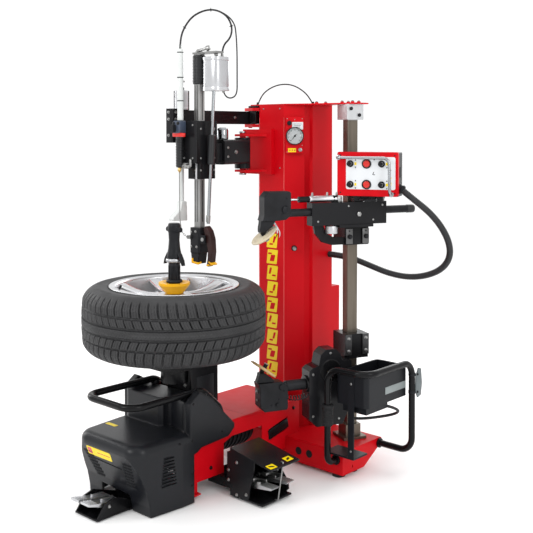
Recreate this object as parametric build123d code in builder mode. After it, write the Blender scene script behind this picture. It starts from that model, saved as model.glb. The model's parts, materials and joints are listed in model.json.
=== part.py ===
from build123d import *
from math import cos, radians, sin
import os

# Leverless tyre changer: floor machine with a swinging tool arm and two bead breaker arms.
# Frame: origin on the floor under the wheel spindle. +Y runs from the front cover to the
# column, +X points to the operator's side with the guide post, +Z is up. Millimetres.

# ------------------------------------------------------------------ driving dimensions

# steel base
SHEET = 4.0                 # folded sheet thickness
PAD_H = 15.0                # levelling pad height
PAD_R = 28.0
BEAM_HALF_W = 167.0
BEAM_FRONT_Y = -78.0
BEAM_TOP_Z = 265.0
BEAM_LOW_Z = 60.0
FOOT_Y = (510.0, 790.0)     # rear cross foot
FOOT_HALF_W = 484.0
FOOT_TOP_Z = 115.0
FRONT_FOOT_Y = (-76.0, -30.0)
ANCHOR_R = 9.0              # floor anchor hole radius
ANCHOR_X = 420.0
ANCHOR_Y = 560.0

# column
COLUMN_FRONT_Y = 600.0
COLUMN_BACK_Y = 843.0
COLUMN_FACE_HALF_W = 75.0   # flat front face
COLUMN_HALF_W = 161.0
CHAMFER = 66.5              # 45 degree corner faces
COLUMN_TOP_Z = 1586.0
CABINET_TOP_Z = 740.0
CABINET_BACK_Y = 900.0
TOP_PLATE_T = 6.0
GAUGE_BOX = (80.0, 165.0, 24.0)     # width, height, depth
GAUGE_Z = 1450.0
GAUGE_R = 40.0

# guide post with the two bead breaker carriages
POST_X = 375.0
POST_Y = 700.0
POST_HALF = 24.5
POST_BORE_HALF = 25.5
ARM_YAW = 25.0              # arms run 25 degrees off +Y
ARM_OFFSET = 75.0           # arm centre line beside the post
DISC_R = 62.0
DISC_T = 12.0
DISC_TILT = 36.0
DISC_PIN_R = 9.0
RUNNING_GAP = 0.4
UPPER_BAR_Z = 1125.0
UPPER_BAR_R = 17.0
UPPER_DISC_U = -440.0
UPPER_DISC_Z = 1034.0
LOWER_BAR_Z = 395.0
LOWER_BAR_R = 23.0
LOWER_DISC_U = -444.0
LOWER_DISC_Z = 478.0

# control console
CONSOLE_C = (520.0, 629.0, 1286.0)
CONSOLE_YAW = 22.0
CONSOLE_W = 262.0
CONSOLE_H = 186.0
CONSOLE_D = 84.0
LEVER_U = (-74.0, 62.0)     # columns of control levers on the console face
LEVER_Z = (44.0, -44.0)
LEVER_PIVOT_DEPTH = 8.0
BUTTON_U = -3.0
BUTTON_R = 15.0

# tool arm
ARM_X = -80.0               # tool arm runs over this X
HINGE_Y = 490.0
HINGE_PIN_R = 13.0
ARM_Z = (1320.0, 1430.0)
POST_TOOL_Y = 220.0         # tool post centre
TOOL_POST_HALF = 18.5
CARRIAGE_Z = (1262.0, 1512.0)
MAST_X = -115.0
MAST_Y = 141.0
CLAW_PIVOT = (ARM_X + 46, POST_TOOL_Y, 1002.0)
CLAW_PIN_R = 4.0
CYL_X = 4.0                 # tool head cylinder centre
CYL_Y = 240.0
CYL_Z = (1640.0, 1785.0)

# helper press arm
PRESS_X = -172.0
PRESS_HINGE_Y = 640.0
PRESS_Z = (1500.0, 1560.0)
PRESS_END_Y = 175.0

# wheel and spindle
TYRE_R = 378.0
TYRE_Z = (565.0, 840.0)
RIM_FLANGE_R = 271.0
RIM_WELL_R = 222.0
RIM_Z = (590.0, 838.0)
SPINDLE_R = 19.0
SPOKES = 10
CONE_R = 64.5
SLEEVE_R = 24.0

# front cover and handle
COVER_HALF_W = 203.0
COVER_FRONT_Y = -366.0
COVER_NOSE = 180.0           # half width at the front
COVER_BACK_Y = -80.0
COVER_Z = (4.0, 281.0)
COVER_WALL = 4.0
WING_X = (171.0, 203.0)
HANDLE_D = 28.0
HANDLE_Z = 420.0
HANDLE_FRONT_Y = -350.0
GUARD_D = 28.0

# side pedals
PEDAL_PIVOT_X = 302.0

# hoses
HOSE_D = 29.0
GLAND_TILT = 38.0           # hose gland, down from the console side
GLAND_REACH = 18.0
THIN_HOSE_D = 8.0

os.makedirs("parts", exist_ok=True)


# ------------------------------------------------------------------ helpers

def block(x, y, z, mode=Mode.ADD):
    """Rectangular block between three coordinate pairs, in the plane of the open part."""
    middle = ((x[0] + x[1]) / 2, (y[0] + y[1]) / 2, (z[0] + z[1]) / 2)
    with Locations(middle):
        Box(abs(x[1] - x[0]), abs(y[1] - y[0]), abs(z[1] - z[0]), mode=mode)


def bar(centre, direction, radius, length, mode=Mode.ADD):
    """Round bar of a given length, centred on a point, along a direction."""
    with Locations(Plane(origin=centre, z_dir=direction)):
        Cylinder(radius, length, mode=mode)


def slab(plane, outline, thickness, mode=Mode.ADD):
    """Closed outline on a plane, raised along the plane's normal."""
    with BuildSketch(plane) as face:
        with BuildLine():
            Polyline(*outline, close=True)
        make_face()
    extrude(face.sketch, amount=thickness, mode=mode)


def turned(plane, outline, mode=Mode.ADD):
    """Half section (radius, height) turned about the plane's Y direction."""
    with BuildSketch(plane) as face:
        with BuildLine():
            Polyline(*outline, close=True)
        make_face()
    revolve(face.sketch, axis=Axis(plane.origin, plane.y_dir), mode=mode)


def bent_tube(points, radii, diameter):
    """Round tube along straight runs joined by arcs, one radius for each corner."""
    with BuildLine() as route:
        FilletPolyline(*points, radius=radii)
    with BuildSketch(Plane(origin=route.line @ 0, z_dir=route.line % 0)) as section:
        Circle(diameter / 2)
    sweep(sections=section.sketch, path=route.line)


def cord_radii(points):
    """Arc radii of a hose: 0.45 of the shorter run over the tangent of half the turn."""
    corners = [Vector(*p) for p in points]
    radii = []
    for before, corner, after in zip(corners, corners[1:], corners[2:]):
        turn = (corner - before).get_angle(after - corner)
        shorter = min((corner - before).length, (after - corner).length)
        radii.append(0.45 * shorter / (sin(radians(turn / 2)) / cos(radians(turn / 2))))
    return radii


def save(piece, name):
    """Label a finished piece and write it as a STEP file."""
    piece.label = name
    export_step(piece, f"parts/{name}.step")


# ------------------------------------------------------------------ steel base

column_outline = [
    (-COLUMN_FACE_HALF_W, COLUMN_FRONT_Y),
    (COLUMN_FACE_HALF_W, COLUMN_FRONT_Y),
    (COLUMN_FACE_HALF_W + CHAMFER, COLUMN_FRONT_Y + CHAMFER),
    (COLUMN_HALF_W - 28, COLUMN_FRONT_Y + CHAMFER + 9),
    (COLUMN_HALF_W - 16, COLUMN_FRONT_Y + CHAMFER + 31),
    (COLUMN_HALF_W, COLUMN_FRONT_Y + CHAMFER + 34),
    (COLUMN_HALF_W, COLUMN_BACK_Y),
    (-COLUMN_HALF_W, COLUMN_BACK_Y),
    (-COLUMN_HALF_W, COLUMN_FRONT_Y + CHAMFER + 34),
    (-COLUMN_HALF_W + 16, COLUMN_FRONT_Y + CHAMFER + 31),
    (-COLUMN_HALF_W + 28, COLUMN_FRONT_Y + CHAMFER + 9),
    (-COLUMN_FACE_HALF_W - CHAMFER, COLUMN_FRONT_Y + CHAMFER),
]

with BuildPart() as base_beam:
    block((-BEAM_HALF_W, BEAM_HALF_W), (BEAM_FRONT_Y, COLUMN_FRONT_Y), (BEAM_LOW_Z, BEAM_TOP_Z))
    fillet(base_beam.edges().filter_by(Axis.Y).group_by(Axis.Z)[-1], 10)
    inner = BEAM_HALF_W - SHEET
    block((-inner, inner), (BEAM_FRONT_Y, COLUMN_FRONT_Y), (0, BEAM_TOP_Z - SHEET), Mode.SUBTRACT)
    block((-BEAM_HALF_W, BEAM_HALF_W), (FOOT_Y[0] - 2, COLUMN_FRONT_Y), (0, FOOT_TOP_Z), Mode.SUBTRACT)
    for side in (-1, 1):
        near, far = side * (inner - 1), side * (BEAM_HALF_W + 1)
        slot = [(120, 0), (120, 182), (168, 200), (352, 200), (352, 0)]
        slab(Plane.YZ.offset(min(near, far)), slot, SHEET + 2, Mode.SUBTRACT)
        slab(Plane.YZ.offset(min(near, far)), [(395, 120), (395, 172), (520, 200), (520, 148)],
             SHEET + 2, Mode.SUBTRACT)
save(base_beam.part, "base_beam")

with BuildPart() as cross_feet:
    outline = [
        (-FOOT_HALF_W, PAD_H), (FOOT_HALF_W, PAD_H), (FOOT_HALF_W, FOOT_TOP_Z), (-FOOT_HALF_W, FOOT_TOP_Z),
    ]
    slab(Plane.XZ.offset(-FOOT_Y[1]), outline, FOOT_Y[1] - FOOT_Y[0])
    for side in (-1, 1):
        corner = [(660, PAD_H - 1), (FOOT_Y[1] + 1, PAD_H - 1), (FOOT_Y[1] + 1, 92)]
        start = side * FOOT_HALF_W if side < 0 else FOOT_HALF_W - 150
        slab(Plane.YZ.offset(start), corner, 150, Mode.SUBTRACT)
    fillet(cross_feet.edges().filter_by(Axis.X).group_by(Axis.Z)[-1], 8)
    block((-FOOT_HALF_W + SHEET, FOOT_HALF_W - SHEET), (FOOT_Y[0] + SHEET, 655),
          (PAD_H + SHEET, FOOT_TOP_Z - SHEET), Mode.SUBTRACT)
    for x in (-ANCHOR_X, ANCHOR_X):
        bar((x, ANCHOR_Y, 65), (0, 0, 1), ANCHOR_R, 120, Mode.SUBTRACT)
    for x in (-300, -240, 240, 300):
        bar((x, FOOT_Y[0], 66), (0, 1, 0), 17, 20, Mode.SUBTRACT)
    for x in (-FOOT_HALF_W, FOOT_HALF_W):
        block((x - 6, x + 6), (575, 581), (32, 46), Mode.SUBTRACT)
    block((-BEAM_HALF_W, BEAM_HALF_W), FRONT_FOOT_Y, (PAD_H, BEAM_LOW_Z))
    block((-BEAM_HALF_W - 18, BEAM_HALF_W + 18), (-92, -26), (PAD_H, PAD_H + 5))
    block((-45, 45), (-30, 36), (PAD_H, PAD_H + 5))
save(cross_feet.part, "cross_feet")

with BuildPart() as levelling_pads:
    rear_spots = [(x, y) for x in (-440, -60, 60, 440) for y in (540, 625)]
    front_spots = [(-135, -58), (135, -58), (0, 0)]
    for x, y in rear_spots + front_spots:
        bar((x, y, PAD_H / 2), (0, 0, 1), PAD_R, PAD_H)
save(levelling_pads.part, "levelling_pads")

with BuildPart() as column:
    slab(Plane.XY.offset(FOOT_TOP_Z), column_outline, COLUMN_TOP_Z - FOOT_TOP_Z)
    block((-COLUMN_HALF_W, COLUMN_HALF_W), (COLUMN_BACK_Y, CABINET_BACK_Y), (FOOT_TOP_Z, CABINET_TOP_Z))
    fillet(column.edges().filter_by(Axis.X).group_by(Axis.Z)[-2], 4)
    with BuildSketch(Plane.XY.offset(FOOT_TOP_Z)) as inside:
        with BuildLine():
            Polyline(*column_outline, close=True)
        make_face()
        offset(amount=-SHEET, mode=Mode.REPLACE)
    extrude(amount=COLUMN_TOP_Z - FOOT_TOP_Z - 12, mode=Mode.SUBTRACT)
    block((-COLUMN_HALF_W + SHEET, COLUMN_HALF_W - SHEET), (COLUMN_BACK_Y - SHEET, CABINET_BACK_Y - SHEET),
          (FOOT_TOP_Z, CABINET_TOP_Z - SHEET), Mode.SUBTRACT)
    for row in range(8):
        with Locations((0, COLUMN_BACK_Y, 1200 + row * 24)):
            Box(180, 30, 8, mode=Mode.SUBTRACT)
save(column.part, "column")

with BuildPart() as top_plate:
    outline = [
        (-COLUMN_HALF_W, COLUMN_FRONT_Y + 30), (COLUMN_FACE_HALF_W, COLUMN_FRONT_Y + 2),
        (200, 640), (440, 655), (440, 745), (200, 790), (COLUMN_HALF_W, COLUMN_BACK_Y),
        (-COLUMN_HALF_W, COLUMN_BACK_Y),
    ]
    slab(Plane.XY.offset(COLUMN_TOP_Z), outline, TOP_PLATE_T)
    for x, y in ((200, 680), (200, 745), (345, 680), (402, 680), (345, 725), (402, 725)):
        bar((x, y, COLUMN_TOP_Z + TOP_PLATE_T + 3), (0, 0, 1), 8, 6)
save(top_plate.part, "top_plate")

# ------------------------------------------------------------------ gauge on the column's corner

chamfer_plane = Plane(
    origin=(COLUMN_FACE_HALF_W + CHAMFER / 2, COLUMN_FRONT_Y + CHAMFER / 2, GAUGE_Z),
    x_dir=(1, 1, 0), z_dir=(1, -1, 0),
)

with BuildPart(chamfer_plane) as gauge_box:
    width, height, depth = GAUGE_BOX
    block((-width / 2, width / 2), (-height / 2, height / 2), (0, depth))
    fillet(gauge_box.edges().filter_by(lambda edge: edge.center().X > 0).group_by(Axis.Z)[-1], 2)
    for x, y, radius in ((-24, 54, 9), (25, -66, 5)):
        with Locations((x, y, depth + 5)):
            Cylinder(radius, 10)
    with Locations((0, -4, depth)):
        Cylinder(GAUGE_R + RUNNING_GAP, 16, mode=Mode.SUBTRACT)
save(gauge_box.part, "gauge_box")

with BuildPart(chamfer_plane) as pressure_gauge:
    with Locations((0, -4, GAUGE_BOX[2] + 4)):
        Cylinder(GAUGE_R, 24)
    with Locations((0, -4, GAUGE_BOX[2] + 15)):
        Cylinder(GAUGE_R - 4, 6, mode=Mode.SUBTRACT)
save(pressure_gauge.part, "pressure_gauge")

# ------------------------------------------------------------------ guide post

breaker_plane = Plane(
    origin=(POST_X, POST_Y, 0),
    x_dir=(cos(radians(ARM_YAW)), -sin(radians(ARM_YAW)), 0), z_dir=(0, 0, 1),
)

with BuildPart(breaker_plane) as guide_post:
    block((-POST_HALF, POST_HALF), (-POST_HALF, POST_HALF), (FOOT_TOP_Z, COLUMN_TOP_Z))
    fillet(guide_post.edges().filter_by(Axis.Z), 4)
    block((-55, 55), (-55, 55), (FOOT_TOP_Z, FOOT_TOP_Z + 12))
    block((-36, 36), (-36, 36), (FOOT_TOP_Z + 12, 178))
    block((-46, 46), (-40, 40), (1518, COLUMN_TOP_Z))
    with Locations((46, -22, 1566), (46, 18, 1538)):
        Box(8, 14, 14)
save(guide_post.part, "guide_post")

# ------------------------------------------------------------------ upper bead breaker

with BuildPart(breaker_plane) as upper_carriage:
    block((-46, 62), (-58, 58), (975, 1065))
    block((-POST_BORE_HALF, POST_BORE_HALF), (-POST_BORE_HALF, POST_BORE_HALF), (900, 1100), Mode.SUBTRACT)
    block((30, 106), (-105, 58), (1056, 1068))
    for u in (-40, 40):
        block((62, 70), (u - 16, u + 16), (980, 1046))
        bar((74, u, 1012), (1, 0, 0), 10, 12)
    hook = [(-205, 1068), (-198, 1030), (-165, 992), (-120, 978), (-55, 978), (-55, 1008),
            (-112, 1012), (-148, 1032), (-160, 1068)]
    hook_plane = Plane(origin=breaker_plane.from_local_coords((44, 0, 0)),
                       x_dir=breaker_plane.y_dir, z_dir=breaker_plane.x_dir)
    slab(hook_plane, hook, 14)
    bar((72, -128, 1047), (0, 0, 1), 27, 34)
    bracket_top = CONSOLE_C[2] - CONSOLE_H / 2 - 12
    block((54, 190), (-30, 20), (bracket_top - 8, bracket_top))
    block((60, 90), (-26, 16), (1165, bracket_top - 8))
save(upper_carriage.part, "upper_carriage")

with BuildPart(breaker_plane) as upper_arm_box:
    block((49, 101), (-233, 125), (1068, 1165))
    bar((ARM_OFFSET, 0, UPPER_BAR_Z), (0, 1, 0), UPPER_BAR_R + RUNNING_GAP, 500, Mode.SUBTRACT)
    bar((ARM_OFFSET, -195, 1180), (0, 1, 0), 13, 180)
    block((62, 88), (-126, -108), (1160, 1194))
save(upper_arm_box.part, "upper_arm_box")


def breaker_bar(bar_z, bar_radius, bar_end, head_u, head_z, disc_u, disc_z, lean):
    """Sliding bar with a head casting and its forked hook for a bead disc; lean is +1 up, -1 down."""
    with BuildPart(breaker_plane) as piece:
        front = head_u[1]
        bar((ARM_OFFSET, (front + bar_end) / 2, bar_z), (0, 1, 0), bar_radius, bar_end - front)
        tip = disc_z + lean * 14
        side = [
            (front, head_z - lean * 6), (front - 6, head_z), (head_u[0] + 20, head_z),
            (head_u[0], head_z - lean * 22), (head_u[0], head_z - lean * 96),
            (head_u[0] - 8, head_z - lean * 122), (disc_u - 25, tip + lean * 14), (disc_u - 23, tip),
            (disc_u + 6, tip - lean * 2), (disc_u + 30, tip + lean * 20), (disc_u + 44, head_z - lean * 122),
            (front - 22, head_z - lean * 118), (front, head_z - lean * 102),
        ]
        side_plane = Plane(origin=breaker_plane.from_local_coords((ARM_OFFSET - 31, 0, 0)),
                           x_dir=breaker_plane.y_dir, z_dir=breaker_plane.x_dir)
        slab(side_plane, side, 62)
        hook = sorted((head_z - lean * 121, disc_z - lean * 30))
        for v in (-31, 17):
            block((ARM_OFFSET + v - 1, ARM_OFFSET + v + 15), (head_u[0] - 30, front + 1), hook, Mode.SUBTRACT)
        tilt = radians(DISC_TILT)
        axis = (0, -sin(tilt), cos(tilt) * lean)
        centre = (ARM_OFFSET, disc_u, disc_z)
        bar(centre, axis, DISC_R + 4, DISC_T + 12, Mode.SUBTRACT)
        bar(centre, axis, DISC_PIN_R, 44)
    return piece.part


def disc_axis(lean):
    """World direction of a bead disc's axle."""
    tilt = radians(DISC_TILT)
    along = breaker_plane.y_dir * (-sin(tilt))
    up = Vector(0, 0, cos(tilt) * lean)
    return along + up


def bead_disc(disc_u, disc_z, lean):
    """Dished plastic disc that presses the tyre bead."""
    centre = breaker_plane.from_local_coords((ARM_OFFSET, disc_u, disc_z))
    axis = disc_axis(lean)
    with BuildPart() as piece:
        half = DISC_T / 2
        hub = DISC_PIN_R + RUNNING_GAP
        outline = [(hub, -half), (22, -half), (DISC_R - 8, -half + 2), (DISC_R, 2), (DISC_R - 3, half - 1),
                   (30, half), (hub, half)]
        side = axis.cross(Vector(0, 0, 1)).normalized()
        turned(Plane(origin=centre, x_dir=side, z_dir=side.cross(axis)), outline)
    return piece.part


upper_bar = breaker_bar(UPPER_BAR_Z, UPPER_BAR_R, 277, (-452, -332), 1218,
                        UPPER_DISC_U, UPPER_DISC_Z, 1)
save(upper_bar, "upper_bar")
save(bead_disc(UPPER_DISC_U, UPPER_DISC_Z, 1), "upper_disc")

# ------------------------------------------------------------------ lower bead breaker

with BuildPart(breaker_plane) as lower_carriage:
    block((-46, 62), (-58, 58), (478, 584))
    block((-POST_BORE_HALF, POST_BORE_HALF), (-POST_BORE_HALF, POST_BORE_HALF), (400, 700), Mode.SUBTRACT)
    for u in (-42, 42):
        block((62, 70), (u - 16, u + 16), (494, 584))
    housing = [(-250, 455), (-232, 468), (-205, 476), (-196, 520), (-172, 541), (-128, 541), (-104, 520),
               (-94, 490), (-50, 484), (-50, 300), (-92, 215), (-215, 215), (-250, 250)]
    housing_plane = Plane(origin=breaker_plane.from_local_coords((38, 0, 0)),
                          x_dir=breaker_plane.y_dir, z_dir=breaker_plane.x_dir)
    slab(housing_plane, housing, 74)
    bar((ARM_OFFSET, 0, LOWER_BAR_Z), (0, 1, 0), LOWER_BAR_R + RUNNING_GAP, 560, Mode.SUBTRACT)
save(lower_carriage.part, "lower_carriage")

lower_bar = breaker_bar(LOWER_BAR_Z, LOWER_BAR_R, -70, (-470, -345), 303,
                        LOWER_DISC_U, LOWER_DISC_Z, -1)
save(lower_bar, "lower_bar")
save(bead_disc(LOWER_DISC_U, LOWER_DISC_Z, -1), "lower_disc")

# ------------------------------------------------------------------ control console

console_plane = Plane(
    origin=CONSOLE_C, x_dir=(cos(radians(CONSOLE_YAW)), sin(radians(CONSOLE_YAW)), 0),
    z_dir=(sin(radians(CONSOLE_YAW)), -cos(radians(CONSOLE_YAW)), 0),
)



def gland_point(reach):
    """Point on the hose gland's axis, in the console's own frame, a given reach out of its side."""
    tilt = radians(GLAND_TILT)
    return (CONSOLE_W / 2 + reach * cos(tilt), -60 - reach * sin(tilt), -44)


with BuildPart(console_plane) as console_case:
    block((-CONSOLE_W / 2, CONSOLE_W / 2), (-CONSOLE_H / 2, CONSOLE_H / 2), (-CONSOLE_D, 0))
    fillet(console_case.edges().filter_by(Plane(console_plane.origin, z_dir=console_plane.z_dir),
                                          reverse=True).group_by(Axis.Z)[-1], 6)
    block((-60, 60), (-CONSOLE_H / 2 - 12, -CONSOLE_H / 2), (-72, -12))
    for u in LEVER_U:
        for v in LEVER_Z:
            with Locations((u, v, -14)):
                Cylinder(14, 30, mode=Mode.SUBTRACT)
    for v in LEVER_Z:
        with Locations((BUTTON_U, v, -10)):
            Cylinder(BUTTON_R + 0.6, 22, mode=Mode.SUBTRACT)
    gland_way = [end - start for start, end in zip(gland_point(0), gland_point(1))]
    bar(gland_point(0), gland_way, HOSE_D / 2 + 2, 2 * GLAND_REACH - 0.6)
save(console_case.part, "console_case")

with BuildPart() as console_handle:
    corners = [(-126, 70, 0), (-126, 70, 34), (100, 70, 34), (104, -84, 34), (104, -84, 0)]
    bent_tube([console_plane.from_local_coords(c) for c in corners], [16, 26, 16], 13)
save(console_handle.part, "console_handle")

for row, v in enumerate(LEVER_Z):
    for side, u in enumerate(LEVER_U):
        with BuildPart(console_plane) as lever:
            with Locations((u, v, 6)):
                Cylinder(4, 36)
            with Locations((u, v, 24)):
                Cone(7, 9.5, 20)
            bar((u, v, -LEVER_PIVOT_DEPTH), (1, 0, 0), 3.5, 16)
        save(lever.part, f"control_lever_{2 * row + side + 1}")
    with BuildPart(console_plane) as button:
        with Locations((BUTTON_U, v, 0)):
            Cylinder(BUTTON_R, 18)
        fillet(button.edges().filter_by(GeomType.CIRCLE).sort_by(Axis.Y)[0], 3)
    save(button.part, f"console_button_{row + 1}")

# ------------------------------------------------------------------ wheel, spindle and quick lock

spindle_plane = Plane.XZ

with BuildPart() as pillar:
    block((-72, 72), (18, 185), (BEAM_TOP_Z, 488))
    fillet(pillar.edges().filter_by(Axis.Z), 10)
    block((-72, 72), (-78, 185), (488, 520))
    bar((0, 0, 490), (0, 0, 1), 58, 110)
    bar((0, 0, 490), (0, 0, 1), SPINDLE_R + RUNNING_GAP + 6, 120, Mode.SUBTRACT)
    bar((0, 0, 490), (0, 0, 1), 34, 60, Mode.SUBTRACT)
save(pillar.part, "pillar")

with BuildPart() as spindle_bearings:
    for z in (446, 534):
        bar((0, 0, z), (0, 0, 1), SPINDLE_R + RUNNING_GAP + 6, 22)
    bar((0, 0, 490), (0, 0, 1), SPINDLE_R + 0.05, 120, Mode.SUBTRACT)
save(spindle_bearings.part, "spindle_bearings")

with BuildPart() as spindle:
    bar((0, 0, 700), (0, 0, 1), SPINDLE_R, 520)
    bar((0, 0, 725), (0, 0, 1), 118, 16)
    bar((0, 0, 640), (0, 0, 1), 44, 160)
    fillet(spindle.edges().filter_by(GeomType.CIRCLE).group_by(SortBy.RADIUS)[-1], 3)
save(spindle.part, "spindle")

with BuildPart() as gear_motor:
    block((-100, 100), (-60, 95), (90, 235))
    bar((0, 245, 165), (0, 1, 0), 78, 300)
    for y in range(120, 371, 25):
        bar((0, y, 165), (0, 1, 0), 84, 6)
    bar((0, 100, 245), (0, 0, 1), 30, 32)
save(gear_motor.part, "gear_motor")

tread_mid = (TYRE_Z[0] + TYRE_Z[1]) / 2

with BuildPart() as tyre:
    bead = RIM_FLANGE_R - 21
    section = [
        (bead, RIM_Z[0] + 14), (RIM_FLANGE_R, RIM_Z[0] + 10), (RIM_FLANGE_R + 3, RIM_Z[0] - 6),
        (292, TYRE_Z[0] + 4), (315, TYRE_Z[0]), (352, TYRE_Z[0] + 16),
        (TYRE_R - 5, TYRE_Z[0] + 46), (TYRE_R, tread_mid), (TYRE_R - 5, TYRE_Z[1] - 46),
        (352, TYRE_Z[1] - 16), (315, TYRE_Z[1]), (292, TYRE_Z[1] - 4), (RIM_FLANGE_R + 3, RIM_Z[1] - 2),
        (RIM_FLANGE_R, RIM_Z[1] - 10), (bead, RIM_Z[1] - 14),
        (bead, RIM_Z[1] - 30), (bead + 30, TYRE_Z[1] - 36), (340, TYRE_Z[1] - 40),
        (TYRE_R - 18, tread_mid), (340, TYRE_Z[0] + 40), (bead + 30, TYRE_Z[0] + 36),
        (bead, RIM_Z[0] + 30),
    ]
    turned(spindle_plane, section)
save(tyre.part, "tyre")

with BuildPart() as rim:
    seat = RIM_FLANGE_R - 22
    section = [
        (RIM_FLANGE_R - 3, RIM_Z[0]), (seat - 1, RIM_Z[0] + 6), (seat - 1, RIM_Z[0] + 38),
        (RIM_WELL_R, RIM_Z[0] + 64), (RIM_WELL_R, RIM_Z[0] + 104), (seat - 1, RIM_Z[0] + 150),
        (seat - 1, RIM_Z[1] - 6), (RIM_FLANGE_R - 3, RIM_Z[1]), (seat - 8, RIM_Z[1]),
        (seat - 8, RIM_Z[0] + 154), (RIM_WELL_R - 6, RIM_Z[0] + 108), (RIM_WELL_R - 6, RIM_Z[0] + 60),
        (seat - 8, RIM_Z[0] + 34), (seat - 8, RIM_Z[0]),
    ]
    turned(spindle_plane, section)
    hub = [(33, 733.2), (86, 733.2), (86, 790), (60, 800), (33, 800)]
    turned(spindle_plane, hub)
    spoke = [(60, 760), (160, 776), (seat - 6, 792), (seat - 6, 826), (160, 812), (60, 797)]
    with PolarLocations(0, SPOKES) as places:
        for place in places.locations:
            angle = radians(place.orientation.Z)
            heading = Vector(cos(angle), sin(angle), 0)
            side = Vector(-sin(angle), cos(angle), 0)
            spoke_plane = Plane(origin=side * -17, x_dir=heading, z_dir=side)
            flipped = [(x, -z if spoke_plane.y_dir.Z < 0 else z) for x, z in spoke]
            slab(spoke_plane, flipped, 34)
save(rim.part, "rim")

with BuildPart() as clamp_cone:
    turned(spindle_plane, [(SPINDLE_R + RUNNING_GAP, 800.5), (36, 800.5), (46, 812), (CONE_R, 836),
                           (CONE_R, 846), (48, 846), (30, 834), (SPINDLE_R + RUNNING_GAP, 834)])
save(clamp_cone.part, "clamp_cone")

with BuildPart() as lock_sleeve:
    bar((0, 0, 890), (0, 0, 1), SLEEVE_R, 112)
    bar((0, 0, 890), (0, 0, 1), SPINDLE_R + RUNNING_GAP, 120, Mode.SUBTRACT)
    with PolarLocations(SLEEVE_R, 8):
        with Locations((0, 0, 880)):
            Box(4, 5, 64, mode=Mode.SUBTRACT)
save(lock_sleeve.part, "lock_sleeve")

with BuildPart() as lock_handle:
    grip = [(SPINDLE_R + RUNNING_GAP, 946), (32, 946), (30, 962), (25, 985), (22, 1020), (24, 1050),
            (28, 1062), (26, 1082), (22, 1090), (0, 1090), (0, 975), (SPINDLE_R + RUNNING_GAP, 970)]
    turned(spindle_plane, grip)
    block((-40, 40), (-9, 9), (1056, 1072))
    for side in (-1, 1):
        flap = [(side * 24, 972), (side * 32, 960), (side * 44, 934), (side * 58, 914), (side * 52, 940),
                (side * 36, 966)]
        slab(Plane.XZ.offset(-10), flap, 20)
save(lock_handle.part, "lock_handle")

# ------------------------------------------------------------------ tool arm

with BuildPart() as hinge_brackets:
    upper = [(-158, 640), (-140, 560), (-112, 472), (-48, 472), (-22, 560), (20, 600), (20, 640)]
    for low, high in ((1444, 1454), (1282, 1292)):
        slab(Plane.XY.offset(low), upper, high - low)
    block((-158, 20), (575, 640), (1270, 1476))
    bar((PRESS_X, PRESS_HINGE_Y, 1530), (0, 0, 1), 9, 96)
    ear = [(PRESS_X - 20, 622), (-120, 600), (-78, 600), (-118, 690), (-158, 690), (PRESS_X - 20, 660)]
    for z in (1486, 1562):
        slab(Plane.XY.offset(z), ear, 14)
    slab(Plane.XY.offset(1260), column_outline, 340, Mode.SUBTRACT)
    bar((ARM_X, HINGE_Y, 1368), (0, 0, 1), HINGE_PIN_R, 190)
save(hinge_brackets.part, "hinge_brackets")

with BuildPart() as tool_arm:
    block((ARM_X - 46, ARM_X + 46), (330, HINGE_Y), ARM_Z)
    fillet(tool_arm.edges().filter_by(Axis.Y), 14)
    bar((ARM_X, HINGE_Y, 1368), (0, 0, 1), 36, 140)
    bar((ARM_X, HINGE_Y, 1368), (0, 0, 1), HINGE_PIN_R + RUNNING_GAP, 200, Mode.SUBTRACT)
    block((ARM_X - 31, ARM_X + 31), (320, 460), (ARM_Z[0] + 14, ARM_Z[1] - 14), Mode.SUBTRACT)
save(tool_arm.part, "tool_arm")

carriage_x = (ARM_X - 45, ARM_X + 45)
with BuildPart() as tool_carriage:
    block(carriage_x, (155, 288), (1330, CARRIAGE_Z[1]))
    block((carriage_x[0] + 14, carriage_x[1]), (178, 276), (CARRIAGE_Z[0], 1330))
    fillet(tool_carriage.edges().filter_by(Axis.Z), 8)
    half = TOOL_POST_HALF + RUNNING_GAP
    block((ARM_X - half, ARM_X + half), (POST_TOOL_Y - half, POST_TOOL_Y + half), (1200, 1600), Mode.SUBTRACT)
    block((ARM_X - 30, ARM_X + 30), (288, 440), (ARM_Z[0] + 15, ARM_Z[1] - 15))
save(tool_carriage.part, "tool_carriage")

with BuildPart() as hose_mast:
    bar((MAST_X, MAST_Y, 1665), (0, 0, 1), 13, 300)
    for z in (1700, 1600):
        bar((MAST_X, MAST_Y, z), (0, 0, 1), 13.8, 5)
save(hose_mast.part, "hose_mast")

with BuildPart() as control_grip:
    grip_y = MAST_Y - 6
    bar((MAST_X, grip_y, 1382), (0, 0, 1), 16, 146)
    block((MAST_X - 22, MAST_X + 22), (grip_y - 22, 154.5), (1456, 1514))
    fillet(control_grip.edges().filter_by(Axis.Z), 7)
    bar((MAST_X, grip_y, 1300), (0, 0, 1), 8, 20)
save(control_grip.part, "control_grip")

with BuildPart() as control_trigger:
    block((MAST_X - 7, MAST_X + 7), (MAST_Y - 49, MAST_Y - 33), (1462, 1496))
    fillet(control_trigger.edges().filter_by(Axis.X), 4)
save(control_trigger.part, "control_trigger")

with BuildPart() as tool_post:
    half = TOOL_POST_HALF
    block((ARM_X - half, ARM_X + half), (POST_TOOL_Y - half, POST_TOOL_Y + half), (930, 1800))
    chamfer(tool_post.edges().filter_by(Axis.Z), 5)
    block((ARM_X - 22, CYL_X + 40), (POST_TOOL_Y - 20, POST_TOOL_Y + 26), (1800, 1808))
save(tool_post.part, "tool_post")

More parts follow.
